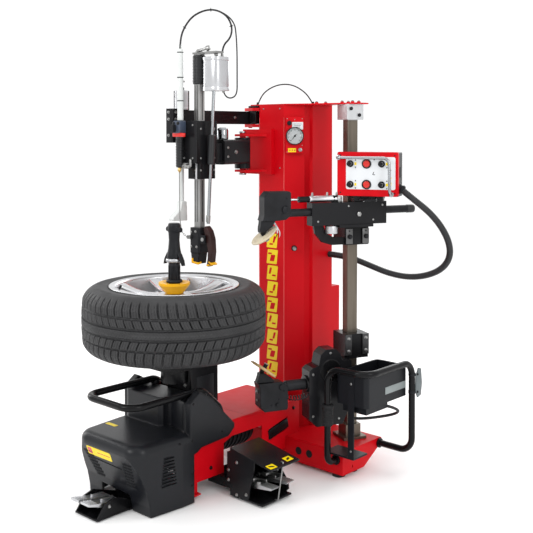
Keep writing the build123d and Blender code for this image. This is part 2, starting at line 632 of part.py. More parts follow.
with BuildPart() as post_grip:
    bar((ARM_X, POST_TOOL_Y, 1733), (0, 0, 1), 28, 126)
    fillet(post_grip.edges().filter_by(GeomType.CIRCLE), 6)
    half = TOOL_POST_HALF
    block((ARM_X - half, ARM_X + half), (POST_TOOL_Y - half, POST_TOOL_Y + half), (1600, 1900), Mode.SUBTRACT)
save(post_grip.part, "post_grip")

rod_top = Vector(CYL_X, CYL_Y - 10, 1710)
rod_foot = Vector(ARM_X + 52, POST_TOOL_Y + 2, 1068)
rod_line = rod_foot - rod_top

with BuildPart() as tool_cylinder:
    block((CYL_X - 50, CYL_X + 50), (CYL_Y - 50, CYL_Y + 50), CYL_Z)
    fillet(tool_cylinder.edges().filter_by(Axis.Z), 34)
    fillet(tool_cylinder.edges().group_by(Axis.Z)[-1], 3)
    bar((CYL_X, CYL_Y, 1792.5), (0, 0, 1), 14, 15)
    bar(rod_top, rod_line, 7 + RUNNING_GAP, 260, Mode.SUBTRACT)
save(tool_cylinder.part, "tool_cylinder")

with BuildPart() as tool_head:
    block((ARM_X - 30, ARM_X + 30), (POST_TOOL_Y - 32, POST_TOOL_Y + 32), (940, 1050))
    fillet(tool_head.edges().filter_by(Axis.Z), 9)
    nose = [(ARM_X - 30, 960), (ARM_X - 24, 905), (ARM_X - 10, 892), (ARM_X + 14, 892), (ARM_X + 26, 960)]
    slab(Plane.XZ.offset(-POST_TOOL_Y - 26), nose, 52)
    half = TOOL_POST_HALF
    block((ARM_X - half, ARM_X + half), (POST_TOOL_Y - half, POST_TOOL_Y + half), (930, 1900), Mode.SUBTRACT)
    for low in (-27, 17):
        block((ARM_X + 20, ARM_X + 58), (POST_TOOL_Y + low, POST_TOOL_Y + low + 10), (984, 1020))
    bar(CLAW_PIVOT, (0, 1, 0), CLAW_PIN_R, 54)
save(tool_head.part, "tool_head")

with BuildPart() as claw_rod:
    bar((rod_top + rod_foot) * 0.5, rod_line, 7, rod_line.length)
save(claw_rod.part, "claw_rod")

with BuildPart() as rod_grip:
    at = rod_top + rod_line * 0.5
    bar(at, rod_line, 16, 128)
    fillet(rod_grip.edges().filter_by(GeomType.CIRCLE), 5)
    bar(at, rod_line, 7, 140, Mode.SUBTRACT)
save(rod_grip.part, "rod_grip")

with BuildPart() as tool_claw:
    claw = [(-40, 1044), (-30, 1060), (-8, 1040), (6, 1004), (10, 950), (4, 905), (-14, 884), (-22, 890),
            (-16, 920), (-14, 962), (-24, 992)]
    slab(Plane.XZ.offset(-POST_TOOL_Y - 15), claw, 30)
    fillet(tool_claw.edges().filter_by(Axis.Y), 2)
    bar(CLAW_PIVOT, (0, 1, 0), CLAW_PIN_R + RUNNING_GAP, 60, Mode.SUBTRACT)
save(tool_claw.part, "tool_claw")

# ------------------------------------------------------------------ helper press arm

with BuildPart() as press_arm:
    block((PRESS_X - 15, PRESS_X + 15), (PRESS_END_Y - 10, PRESS_HINGE_Y), PRESS_Z)
    bar((PRESS_X, PRESS_HINGE_Y, 1530), (0, 0, 1), 24, 60)
    bar((PRESS_X, PRESS_HINGE_Y, 1530), (0, 0, 1), 9 + RUNNING_GAP, 90, Mode.SUBTRACT)
    bar((PRESS_X, 520, 1530), (1, 0, 0), 6, 60, Mode.SUBTRACT)
    block((PRESS_X - 22, PRESS_X + 22), (PRESS_END_Y - 50, PRESS_END_Y - 10), (1418, 1566))
    fillet(press_arm.edges().filter_by(Axis.Z).group_by(Axis.Y)[0], 8)
    block((PRESS_X - 20, PRESS_X + 20), (PRESS_END_Y - 10, PRESS_END_Y + 60), (1430, 1500))
    rod_y = PRESS_END_Y + 25
    block((PRESS_X - 24, PRESS_X + 24), (rod_y - 24, rod_y + 24), (1560, 1645))
    bar((PRESS_X, rod_y, 1652), (0, 0, 1), 12, 14)
    bar((PRESS_X, rod_y, 1530), (0, 0, 1), 10 + RUNNING_GAP, 216, Mode.SUBTRACT)
save(press_arm.part, "press_arm")

with BuildPart() as press_rod:
    bar((PRESS_X, PRESS_END_Y + 25, 1370), (0, 0, 1), 10, 420)
    pad = [(PRESS_END_Y - 42, 1078), (PRESS_END_Y - 36, 1092), (PRESS_END_Y + 4, 1124),
           (PRESS_END_Y + 12, 1160), (PRESS_END_Y + 40, 1160), (PRESS_END_Y + 44, 1074)]
    slab(Plane.YZ.offset(PRESS_X - 16), pad, 32)
    fillet(press_rod.edges().filter_by(Axis.X), 5)
save(press_rod.part, "press_rod")

# ------------------------------------------------------------------ front cover and its handle

with BuildPart() as front_cover:
    with BuildSketch(Plane.XY.offset(COVER_Z[0])):
        with BuildLine():
            Polyline((-COVER_HALF_W, COVER_BACK_Y), (-COVER_HALF_W, -140), (-COVER_NOSE, COVER_FRONT_Y),
                     (COVER_NOSE, COVER_FRONT_Y), (COVER_HALF_W, -140), (COVER_HALF_W, COVER_BACK_Y), close=True)
        make_face()
    extrude(amount=COVER_Z[1] - COVER_Z[0])
    fillet(front_cover.edges().filter_by(Axis.Z).group_by(Axis.Y)[0], 66)
    fillet(front_cover.edges().group_by(Axis.Z)[-1].filter_by(lambda e: e.center().Y < COVER_BACK_Y - 1), 34)
    lean = [(COVER_FRONT_Y - 20, -10), (COVER_FRONT_Y - 20, 240), (COVER_FRONT_Y, 240), (-334, 168),
            (-306, 100), (-293, 40), (-290, -10)]
    slab(Plane.YZ.offset(-COVER_HALF_W - 5), lean, 2 * COVER_HALF_W + 10, Mode.SUBTRACT)
    room = [(-197, COVER_BACK_Y), (-197, -140), (-176, -284), (176, -284), (197, -140), (197, COVER_BACK_Y)]
    slab(Plane.XY, room, COVER_Z[1] - 36, Mode.SUBTRACT)
    block((-146, 146), (-328, -280), (190, COVER_Z[1] - 36), Mode.SUBTRACT)
    arch = [(-112, 0), (80, 0), (70, 64), (-98, 72)]
    slab(Plane.XZ.offset(-COVER_FRONT_Y - 90), arch, 120, Mode.SUBTRACT)
    wing = [(COVER_BACK_Y - 20, 206), (COVER_BACK_Y - 20, 400), (-47, 437), (20, 398), (75, 338), (146, 268),
            (146, 252), (112, 222), (-40, 214), (-62, 200), (COVER_BACK_Y, 196)]
    for start in (WING_X[0], -WING_X[1]):
        slab(Plane.YZ.offset(start), wing, WING_X[1] - WING_X[0])
    face = [(-175, -108), (-156, -120), (36, -120), (48, -108), (54, -82), (64, -76), (150, -96), (175, -106)]
    shell = face + [(x, y + 9) for x, y in reversed(face)]
    slab(Plane.XY.offset(COVER_Z[1] - 8), shell, 398 - COVER_Z[1] + 8)
    slab(Plane.XY.offset(392), face + [(175, 14), (-175, 14)], 6)
    for side in (-1, 1):
        for row in range(8):
            with Locations((side * (92 + row * 4), -330, 106 + row * 14)):
                Box(52, 90, 5, mode=Mode.SUBTRACT)
    for row in range(9):
        with Locations((COVER_HALF_W - 9, -205, 108 + row * 13)):
            Box(34, 70 - 3 * row, 5, mode=Mode.SUBTRACT)
save(front_cover.part, "front_cover")

with BuildPart() as front_handle:
    reach = 142.0
    corners = [(reach, 140, BEAM_TOP_Z), (reach, 116, 330), (reach, 20, HANDLE_Z - 2),
               (reach, HANDLE_FRONT_Y, HANDLE_Z), (-reach, HANDLE_FRONT_Y, HANDLE_Z),
               (-reach, 20, HANDLE_Z - 2), (-reach, 116, 330), (-reach, 140, BEAM_TOP_Z)]
    bent_tube(corners, [50, 70, 60, 60, 70, 50], HANDLE_D)
    block((-170, 170), (90, 170), (200, BEAM_TOP_Z), Mode.SUBTRACT)
save(front_handle.part, "front_handle")

# ------------------------------------------------------------------ guard frame and tool tray

with BuildPart() as guard_frame:
    corners = [(450, FOOT_Y[0], 78), (450, 450, 78), (450, 450, 478), (655, 450, 482), (655, 770, 482),
               (655, 772, 92), (FOOT_HALF_W, 772, 92)]
    bent_tube(corners, [34, 60, 60, 60, 60], GUARD_D)
save(guard_frame.part, "guard_frame")

with BuildPart() as tool_tray:
    block((478, 638), (469, 762), (338, 466))
    fillet(tool_tray.edges().filter_by(Axis.Z), 18)
    block((484, 632), (475, 756), (344, 500), Mode.SUBTRACT)
    block((500, 620), (490, 640), (306, 338))
    block((545, 575), (464.5, 469), (122, 466))
    block((420, 575), (464.5, 560), (FOOT_TOP_Z, 122))
save(tool_tray.part, "tool_tray")

# ------------------------------------------------------------------ pedals

with BuildPart() as side_pedal_box:
    block((262, 268), (60, 231), (14, 200))
    lid = [(262, 195), (262, 201), (482, 163), (482, 157)]
    slab(Plane.XZ.offset(-231), lid, 171)
    near = [(262, 14), (262, 201), (394, 178), (392, 141), (370, 53), (366, 22), (358, 9), (280, 9)]
    slab(Plane.XZ.offset(-66), near, 6)
    far = [(262, 14), (262, 201), (394, 178), (392, 96), (424, 60), (428, 30), (410, 9), (280, 9)]
    slab(Plane.XZ.offset(-231), far, 6)
    block((262, 440), (60, 231), (9, 15))
    block((245, 262), (60, 90), (45, 181))
    block((110, 262), (84, 200), (22, BEAM_LOW_Z))
    bar((PEDAL_PIVOT_X, 145.5, 60), (0, 1, 0), 6, 171)
save(side_pedal_box.part, "side_pedal_box")

for index, y in enumerate((106, 196)):
    with BuildPart() as pedal:
        arm = [(-4, 66), (-4, 54), (54, 56), (158, 70), (165, 79), (104, 78), (54, 68)]
        slab(Plane.XZ.offset(-y - 21), [(PEDAL_PIVOT_X + x, z) for x, z in arm], 42)
        bar((PEDAL_PIVOT_X, y, 60), (0, 1, 0), 12, 42)
        bar((PEDAL_PIVOT_X, y, 60), (0, 1, 0), 6 + RUNNING_GAP, 60, Mode.SUBTRACT)
    save(pedal.part, f"side_pedal_{index + 1}")

with BuildPart() as front_pedal_box:
    block((-70, 66), (-450, -250), (4, 10))
    for x in (-69, 59):
        slab(Plane.YZ.offset(x), [(-452, 4), (-412, 60), (-368, 72), (-252, 30), (-252, 4)], 6)
    block((-70, 66), (-256, -250), (4, 60))
    bar((-2, -392, 46), (1, 0, 0), 6, 124)
save(front_pedal_box.part, "front_pedal_box")

for index, x in enumerate((-34, 28)):
    with BuildPart() as pedal:
        arm = [(-480, 66), (-478, 74), (-440, 66), (-392, 58), (-330, 52), (-330, 40), (-392, 34), (-440, 54)]
        slab(Plane.YZ.offset(x - 25), arm, 50)
        bar((x, -392, 46), (1, 0, 0), 12, 50)
        bar((x, -392, 46), (1, 0, 0), 6 + RUNNING_GAP, 60, Mode.SUBTRACT)
    save(pedal.part, f"front_pedal_{index + 1}")

# ------------------------------------------------------------------ air supply and hoses

with BuildPart() as air_unit:
    block((-40, 40), (CABINET_BACK_Y, CABINET_BACK_Y + 8), (560, 700))
    bar((0, CABINET_BACK_Y + 32, 640), (0, 0, 1), 24, 120)
    block((-52, 52), (CABINET_BACK_Y + 8, CABINET_BACK_Y + 56), (680, 716))
    bar((64, CABINET_BACK_Y + 32, 698), (1, 0, 0), 12, 26)
    bar((64, CABINET_BACK_Y + 32, 698), (1, 0, 0), 6.5, 40, Mode.SUBTRACT)
    with Locations((0, CABINET_BACK_Y + 32, 732)):
        Cylinder(18, 34)
save(air_unit.part, "air_unit")

control_route = [console_plane.from_local_coords(gland_point(GLAND_REACH)),
                 console_plane.from_local_coords(gland_point(GLAND_REACH + 68)),
                 (722, 798, 1124), (746, 850, 1064), (752, 906, 992), (732, 950, 920), (678, 974, 860),
                 (600, 976, 822), (512, 960, 806), (434, 912, 822), (360, 868, 856), (292, 836, 884),
                 (226, 822, 894), (COLUMN_HALF_W, 822, 894)]
with BuildPart() as control_hose:
    bent_tube(control_route, cord_radii(control_route), HOSE_D)
save(control_hose.part, "control_hose")

tool_route = [(MAST_X, MAST_Y, 1815), (MAST_X, MAST_Y, 1862), (-104, 156, 1916), (-72, 182, 1968),
              (-16, 230, 1994), (32, 270, 1970), (54, 288, 1920), (50, 284, 1868), (22, 258, 1832),
              (22, 258, CYL_Z[1])]
with BuildPart() as tool_hose:
    bent_tube(tool_route, cord_radii(tool_route), THIN_HOSE_D)
save(tool_hose.part, "tool_hose")
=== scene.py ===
"""Looks of a leverless tyre changer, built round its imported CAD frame. Metres, +Z up."""

import json
from math import cos, pi, radians, sin

import bmesh
import bpy
import numpy as np
from mathutils import Matrix, Vector

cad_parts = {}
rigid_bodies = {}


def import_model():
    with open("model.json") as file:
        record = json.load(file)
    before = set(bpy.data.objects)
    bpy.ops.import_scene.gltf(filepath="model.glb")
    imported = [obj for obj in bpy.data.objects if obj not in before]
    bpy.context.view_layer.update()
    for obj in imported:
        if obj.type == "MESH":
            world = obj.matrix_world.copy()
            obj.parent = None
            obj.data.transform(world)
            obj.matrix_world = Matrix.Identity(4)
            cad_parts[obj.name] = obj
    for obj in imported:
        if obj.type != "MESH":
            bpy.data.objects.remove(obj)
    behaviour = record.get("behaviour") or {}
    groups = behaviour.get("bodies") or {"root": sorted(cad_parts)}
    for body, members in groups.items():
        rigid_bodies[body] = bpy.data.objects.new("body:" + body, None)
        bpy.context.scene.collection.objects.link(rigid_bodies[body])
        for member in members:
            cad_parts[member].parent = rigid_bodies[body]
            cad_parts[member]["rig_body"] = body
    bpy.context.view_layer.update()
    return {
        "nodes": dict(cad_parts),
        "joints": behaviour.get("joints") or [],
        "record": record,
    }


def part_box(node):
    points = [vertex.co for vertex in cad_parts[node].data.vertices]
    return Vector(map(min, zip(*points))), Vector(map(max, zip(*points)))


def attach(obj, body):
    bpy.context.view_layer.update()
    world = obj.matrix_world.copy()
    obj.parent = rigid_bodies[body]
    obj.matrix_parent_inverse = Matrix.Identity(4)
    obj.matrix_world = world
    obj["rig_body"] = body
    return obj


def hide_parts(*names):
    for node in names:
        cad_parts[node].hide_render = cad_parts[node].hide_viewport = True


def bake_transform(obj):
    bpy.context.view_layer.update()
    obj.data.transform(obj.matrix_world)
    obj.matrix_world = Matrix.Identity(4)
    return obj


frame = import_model()
JOINTS = {joint["name"]: joint for joint in frame["joints"]}
MM = 0.001
UP = Vector((0, 0, 1))
RIGHT = Vector((1, 0, 0))           # towards the operator
FRONT = Vector((0, -1, 0))          # from the column towards the front cover


# ------------------------------------------------------------------ places read from the frame

def centre(node):
    """Middle of a CAD node's box."""
    low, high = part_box(node)
    return (low + high) / 2


def joint_axis(name):
    """Direction of a joint's axis."""
    return Vector(JOINTS[name]["axis"]).normalized()


def joint_place(name):
    """Where a joint is, in metres."""
    return Vector(JOINTS[name]["pos_m"])


ARM_OUT = -joint_axis("upper_bar_slide")            # along the bead breaker arms, away from the wheel
ARM_SIDE = ARM_OUT.cross(UP)                        # towards the operator
POST = Vector((centre("guide_post").x, centre("guide_post").y, 0))
FACE_RIGHT = joint_axis("control_lever_1_tilt")     # along the console's face
FACE_OUT = -joint_axis("console_button_1_press")    # out of the console's face
CORNER_OUT = Vector((1, -1, 0)).normalized()        # out of the column's corner face
CORNER_RIGHT = Vector((1, 1, 0)).normalized()


def by_arm(side, out, up):
    """Point beside the guide post, in millimetres along the arm's own directions."""
    return POST + ARM_SIDE * side * MM + ARM_OUT * out * MM + UP * up * MM


FACE_MID = (joint_place("control_lever_1_tilt") + joint_place("control_lever_4_tilt")) / 2
FACE_MID += FACE_RIGHT * 0.006 + FACE_OUT * 0.008


def on_face(right, up, out):
    """Point on the console, in millimetres from the middle of its face."""
    return FACE_MID + FACE_RIGHT * right * MM + UP * up * MM + FACE_OUT * out * MM


gauge_low, gauge_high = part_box("pressure_gauge")
GAUGE_MID = (gauge_low + gauge_high) / 2


def on_corner(right, up, out):
    """Point on the gauge box, in millimetres from the gauge's middle."""
    return GAUGE_MID + CORNER_RIGHT * right * MM + UP * up * MM + CORNER_OUT * out * MM


# ------------------------------------------------------------------ materials

def shader(name):
    """New node material: (material, node tree, principled shader)."""
    material = bpy.data.materials.new(name)
    material.use_nodes = True
    tree = material.node_tree
    return material, tree, tree.nodes["Principled BSDF"]


def noise(tree, scale, detail=3.0, stretch=(1, 1, 1)):
    """Noise over the object's own coordinates."""
    place = tree.nodes.new("ShaderNodeTexCoord")
    mapping = tree.nodes.new("ShaderNodeMapping")
    mapping.inputs["Scale"].default_value = stretch
    texture = tree.nodes.new("ShaderNodeTexNoise")
    texture.inputs["Scale"].default_value = scale
    texture.inputs["Detail"].default_value = detail
    tree.links.new(place.outputs["Object"], mapping.inputs["Vector"])
    tree.links.new(mapping.outputs["Vector"], texture.inputs["Vector"])
    return texture.outputs["Fac"]


def ramp(tree, factor, low, high, start=0.3, end=0.7):
    """Colour ramp between two RGB colours."""
    node = tree.nodes.new("ShaderNodeValToRGB")
    first, last = node.color_ramp.elements
    first.position, last.position = start, end
    first.color, last.color = (*low, 1), (*high, 1)
    tree.links.new(factor, node.inputs["Fac"])
    return node.outputs["Color"]


def spread(tree, factor, low, high):
    """Maps 0..1 to low..high."""
    node = tree.nodes.new("ShaderNodeMapRange")
    node.inputs["To Min"].default_value = low
    node.inputs["To Max"].default_value = high
    tree.links.new(factor, node.inputs["Value"])
    return node.outputs["Result"]


def bump(tree, surface, height, strength, distance=0.001, edge_radius=0.0012):
    """Bump from a height over softly rounded edges, added to the shader's normal."""
    soft = tree.nodes.new("ShaderNodeBevel")
    soft.samples = 4
    soft.inputs["Radius"].default_value = edge_radius
    node = tree.nodes.new("ShaderNodeBump")
    node.inputs["Strength"].default_value = strength
    node.inputs["Distance"].default_value = distance
    tree.links.new(soft.outputs["Normal"], node.inputs["Normal"])
    tree.links.new(height, node.inputs["Height"])
    tree.links.new(node.outputs["Normal"], surface.inputs["Normal"])


def edge_wear_and_highlight(tree, colour, edge, amount):
    """Mixes a lighter edge colour in where the mesh is sharply convex: partly edge wear, partly a painted
    highlight.
    """
    geometry = tree.nodes.new("ShaderNodeNewGeometry")
    sharp = ramp(tree, geometry.outputs["Pointiness"], (0, 0, 0), (amount, amount, amount), 0.53, 0.62)
    mix = tree.nodes.new("ShaderNodeMix")
    mix.data_type = "RGBA"
    mix.inputs["B"].default_value = (*edge, 1)
    tree.links.new(sharp, mix.inputs["Factor"])
    tree.links.new(colour, mix.inputs["A"])
    return mix.outputs["Result"]


def finish(name, colour, roughness, metallic=0.0, vary=0.12, cloud=6.0, grain=900.0, relief=0.1,
           coat=0.0, edge=None, stretch=(1, 1, 1), depth=0.0004, shine=0.35, round_edge=0.0012):
    """A general surface: clouded colour, uneven roughness and a fine grain in the normal."""
    material, tree, surface = shader(name)
    dark = tuple(channel * (1 - vary) for channel in colour)
    light = tuple(min(1, channel * (1 + vary)) for channel in colour)
    patches = noise(tree, cloud, 5.0)
    tint = ramp(tree, patches, dark, light)
    # Lighter sharp edges: partly edge wear, partly a painted highlight.
    if edge:
        tint = edge_wear_and_highlight(tree, tint, edge, 0.6)
    tree.links.new(tint, surface.inputs["Base Color"])
    streaks = noise(tree, grain * 0.06, 4.0, stretch)
    tree.links.new(spread(tree, streaks, roughness * 0.82, roughness * 1.2), surface.inputs["Roughness"])
    surface.inputs["Metallic"].default_value = metallic
    surface.inputs["Specular IOR Level"].default_value = shine
    surface.inputs["Coat Weight"].default_value = coat
    surface.inputs["Coat Roughness"].default_value = 0.08
    bump(tree, surface, noise(tree, grain, 2.0, stretch), relief, depth, round_edge)
    return material


def two_tone(name, below, above, height, roughness):
    """Steel whose tone changes at a height, for the guide post and its cast top bracket."""
    material, tree, surface = shader(name)
    geometry = tree.nodes.new("ShaderNodeTexCoord")
    split = tree.nodes.new("ShaderNodeSeparateXYZ")
    tree.links.new(geometry.outputs["Object"], split.inputs["Vector"])
    step = tree.nodes.new("ShaderNodeMath")
    step.operation = "GREATER_THAN"
    step.inputs[1].default_value = height
    tree.links.new(split.outputs["Z"], step.inputs[0])
    brushed = noise(tree, 60.0, 4.0, (1, 1, 0.06))
    low = ramp(tree, brushed, tuple(c * 0.8 for c in below), tuple(c * 1.2 for c in below))
    high = ramp(tree, noise(tree, 30.0), tuple(c * 0.9 for c in above), above)
    mix = tree.nodes.new("ShaderNodeMix")
    mix.data_type = "RGBA"
    tree.links.new(step.outputs["Value"], mix.inputs["Factor"])
    tree.links.new(low, mix.inputs["A"])
    tree.links.new(high, mix.inputs["B"])
    tree.links.new(mix.outputs["Result"], surface.inputs["Base Color"])
    surface.inputs["Metallic"].default_value = 0.85
    tree.links.new(spread(tree, brushed, roughness * 0.8, roughness * 1.25), surface.inputs["Roughness"])
    bump(tree, surface, brushed, 0.12, 0.0003)
    return material


def tyre_rubber():
    """Rubber with fine mould grain, a faint dusty bloom, and sharp convex edges lighter than the tread's
    grooves: partly dust, partly a painted highlight.
    """
    material, tree, surface = shader("tyre_rubber")
    tint = ramp(tree, noise(tree, 9.0, 6.0), (0.0125, 0.0125, 0.0135), (0.024, 0.024, 0.0255))
    # Lighter convex edges: partly dust, partly a painted highlight.
    tint = edge_wear_and_highlight(tree, tint, (0.05, 0.05, 0.052), 0.5)
    tree.links.new(tint, surface.inputs["Base Color"])
    tree.links.new(spread(tree, noise(tree, 45.0), 0.46, 0.7), surface.inputs["Roughness"])
    surface.inputs["Specular IOR Level"].default_value = 0.42
    bump(tree, surface, noise(tree, 700.0, 3.0), 0.25, 0.0004)
    return material


RED = (0.56, 0.0022, 0.0075)
BLACK = (0.0042, 0.0042, 0.0048)
PLASTIC = (0.0075, 0.0082, 0.0105)
MATERIALS = {
    "red_paint": finish("red_powder_coat", RED, 0.38, vary=0.05, cloud=3.0, grain=420.0, relief=0.10,
                        shine=0.10),
    "black_paint": finish("black_enamel", BLACK, 0.24, vary=0.25, cloud=5.0, grain=500.0, relief=0.12,
                          shine=0.16, edge=(0.016, 0.016, 0.018)),
    "black_plastic": finish("moulded_black_plastic", PLASTIC, 0.36, vary=0.18, grain=1500.0, relief=0.22,
                            shine=0.17),
    "bare_steel": two_tone("guide_post_steel", (0.135, 0.115, 0.092), (0.50, 0.51, 0.52), 1.516, 0.36),
    "tool_steel": finish("ground_steel", (0.30, 0.30, 0.295), 0.32, metallic=0.95, vary=0.25, grain=240.0,
                         relief=0.18, stretch=(1, 1, 0.05)),
    "dark_casting": finish("dark_casting", (0.012, 0.0125, 0.0145), 0.40, metallic=0.1, vary=0.3, cloud=18.0,
                           grain=260.0, relief=0.35, edge=(0.035, 0.035, 0.04), shine=0.16, round_edge=0.002),
    "aluminium": finish("machined_aluminium", (0.54, 0.545, 0.56), 0.34, metallic=1.0, vary=0.10, grain=300.0,
                        relief=0.03, stretch=(1, 1, 0.08)),
    "chrome": finish("chromed_tube", (0.36, 0.375, 0.39), 0.15, metallic=1.0, vary=0.08, grain=200.0,
                     relief=0.03),
    "rubber": tyre_rubber(),
    "grip_rubber": finish("grip_rubber", (0.010, 0.0105, 0.012), 0.42, vary=0.2, grain=800.0, relief=0.35,
                          shine=0.4),
    "yellow_plastic": finish("yellow_nylon", (0.84, 0.42, 0.002), 0.38, vary=0.10, grain=500.0, relief=0.15),
    "cream_plastic": finish("cream_nylon", (0.52, 0.45, 0.32), 0.42, vary=0.14, cloud=14.0, grain=420.0,
                            relief=0.18, edge=(0.66, 0.6, 0.48)),
    "white_plastic": finish("white_nylon", (0.62, 0.64, 0.63), 0.36, vary=0.06, grain=420.0, relief=0.10),
    "red_plastic": finish("red_button", (0.58, 0.012, 0.006), 0.2, vary=0.08, grain=300.0, relief=0.04,
                          coat=0.4),
    "pad_rubber": finish("pad_rubber", (0.007, 0.007, 0.008), 0.7, vary=0.2, grain=500.0, relief=0.3),
}

# What a piece is made of: its material, and the name of a material slot
BLACK_PLASTIC = (MATERIALS["black_plastic"], "black_plastic")
STEEL = (MATERIALS["tool_steel"], "bare_steel")
ALUMINIUM = (MATERIALS["aluminium"], "aluminium")
BLACK_PAINT = (MATERIALS["black_paint"], "black_paint")
CASTING = (MATERIALS["dark_casting"], "dark_casting")
HOSE_RUBBER = (MATERIALS["grip_rubber"], "rubber")
GRIP_RUBBER = (MATERIALS["grip_rubber"], "grip_rubber")
PAD_RUBBER = (MATERIALS["pad_rubber"], "pad_rubber")
RED_PLASTIC = (MATERIALS["red_plastic"], "red_plastic")
RED_PAINT = (MATERIALS["red_paint"], "red_paint")
YELLOW_PLASTIC = (MATERIALS["yellow_plastic"], "yellow_plastic")
WHITE_PLASTIC = (MATERIALS["white_plastic"], "white_plastic")
CHROME = (MATERIALS["chrome"], "chrome")

# Surfaces of single pieces, some with their slot
GOLD = finish("golden_nylon", (0.46, 0.33, 0.15), 0.34, vary=0.16, cloud=12.0, grain=380.0, relief=0.15)
DIAL = (finish("dial_face", (0.82, 0.86, 0.87), 0.5, vary=0.03, grain=200.0, relief=0.02), "white_plastic")
WHITE_PRINT = (finish("white_print", (0.68, 0.70, 0.72), 0.42, vary=0.03, grain=300.0, relief=0.03),
               "white_plastic")
YELLOW_PRINT = (finish("yellow_print", (0.86, 0.64, 0.0), 0.4, vary=0.04, grain=300.0, relief=0.03),
                "yellow_plastic")
# Near-black for dark print, and for discs and strips painted as the shade in holes, pockets, grooves and
# recesses.
DARK_PRINT_AND_SHADE = (finish("dark_print_and_painted_shade", (0.004, 0.004, 0.005), 0.8, vary=0.1, grain=300.0, relief=0.1),
            "black_plastic")
ALLOY = (finish("wheel_alloy", (0.58, 0.585, 0.60), 0.28, metallic=0.9, vary=0.10, grain=260.0, relief=0.05,
                coat=0.2), "aluminium")
BLUE_GREY = (finish("control_head", (0.045, 0.06, 0.095), 0.4, vary=0.2, grain=500.0, relief=0.25),
             "black_plastic")
BRASS = (finish("brass", (0.62, 0.42, 0.16), 0.3, metallic=1.0, vary=0.12, grain=300.0, relief=0.1),
         "bare_steel")
OXIDE = finish("red_brown_casting", (0.030, 0.010, 0.009), 0.38, metallic=0.3, vary=0.3, cloud=15.0,
               grain=260.0, relief=0.3, edge=(0.14, 0.09, 0.08))


def clear_glass():
    """Thin glass with faint smears."""
    material, tree, surface = shader("gauge_glass")
    tree.links.new(spread(tree, noise(tree, 120.0), 0.02, 0.06), surface.inputs["Roughness"])
    surface.inputs["Transmission Weight"].default_value = 1.0
    surface.inputs["IOR"].default_value = 1.2
    bump(tree, surface, noise(tree, 200.0), 0.01, 0.0001)
    return material


GLASS = (clear_glass(), "white_plastic")
COVER = finish("moulded_cover", PLASTIC, 0.30, vary=0.18, grain=1500.0, relief=0.18, shine=0.24,
               round_edge=0.011)


# ------------------------------------------------------------------ making pieces

def settle(obj):
    """Applies an object's modifiers to its mesh."""
    bpy.context.view_layer.update()
    graph = bpy.context.evaluated_depsgraph_get()
    mesh = bpy.data.meshes.new_from_object(obj.evaluated_get(graph))
    obj.modifiers.clear()
    old, obj.data = obj.data, mesh
    if old.users == 0:
        bpy.data.meshes.remove(old)
    return obj


def shade(obj, angle=38):
    """Smooth shading with edges kept sharp beyond an angle."""
    obj.data.shade_smooth()
    obj.data.set_sharp_from_angle(angle=radians(angle))


def add_modifier(obj, kind, **settings):
    """Adds a modifier and sets its values."""
    modifier = obj.modifiers.new(kind.lower(), kind)
    for key, value in settings.items():
        setattr(modifier, key, value)
    return modifier


def piece(name, mesh_or_bm, body, material, slot, bevel=0.0, segments=2, subdivide=0, angle=38):
    """Links a mesh as a piece of a body, with rounded edges."""
    if isinstance(mesh_or_bm, bmesh.types.BMesh):
        mesh = bpy.data.meshes.new(name)
        mesh_or_bm.normal_update()
        mesh_or_bm.to_mesh(mesh)
        mesh_or_bm.free()
    else:
        mesh = mesh_or_bm
    obj = bpy.data.objects.new(name, mesh)
    bpy.context.scene.collection.objects.link(obj)
    if bevel:
        add_modifier(obj, "BEVEL", width=bevel, segments=segments, limit_method="ANGLE",
                     angle_limit=radians(30))
    if subdivide:
        add_modifier(obj, "SUBSURF", levels=subdivide, render_levels=subdivide)
    if bevel or subdivide:
        settle(obj)
    obj.data.materials.clear()
    obj.data.materials.append(material)
    shade(obj, angle)
    if body:
        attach(obj, body)
    return obj


def basis(normal, about=None):
    """Rotation whose Z is the normal and whose X is as near as can be to a direction."""
    z = Vector(normal).normalized()
    x = Vector(about) if about is not None else (UP if abs(z.z) < 0.9 else Vector((1, 0, 0)))
    y = z.cross(x).normalized()
    x = y.cross(z)
    return Matrix((x, y, z)).transposed().to_4x4()


def add_block(bm, at, size, normal=(0, 0, 1), about=(1, 0, 0)):
    """Adds a box of a given size, centred on a point; X runs along about, Z along normal."""
    matrix = Matrix.Translation(at) @ basis(normal, about) @ Matrix.Diagonal((*size, 1))
    bmesh.ops.create_cube(bm, size=1.0, matrix=matrix)


def add_round(bm, at, normal, radius, length, sides=32, top=None):
    """Adds a cylinder or a cone, centred on a point."""
    matrix = Matrix.Translation(at) @ basis(normal)
    bmesh.ops.create_cone(bm, cap_ends=True, segments=sides, radius1=radius,
                          radius2=radius if top is None else top, depth=length, matrix=matrix)


def add_bolt(bm, at, normal, size=8.0):
    """Adds a washer and a hexagon head standing on a surface."""
    at, normal = Vector(at), Vector(normal).normalized()
    add_round(bm, at + normal * 0.0008, normal, size * 1.15 * MM, 0.0016, 24)
    add_round(bm, at + normal * (0.0016 + size * 0.3 * MM), normal, size * 0.88 * MM, size * 0.6 * MM, 6)


def add_socket_screw(bm, at, normal, size=6.0):
    """Adds a domed button head."""
    at, normal = Vector(at), Vector(normal).normalized()
    add_round(bm, at + normal * size * 0.2 * MM, normal, size * MM, size * 0.4 * MM, 24, size * 0.72 * MM)


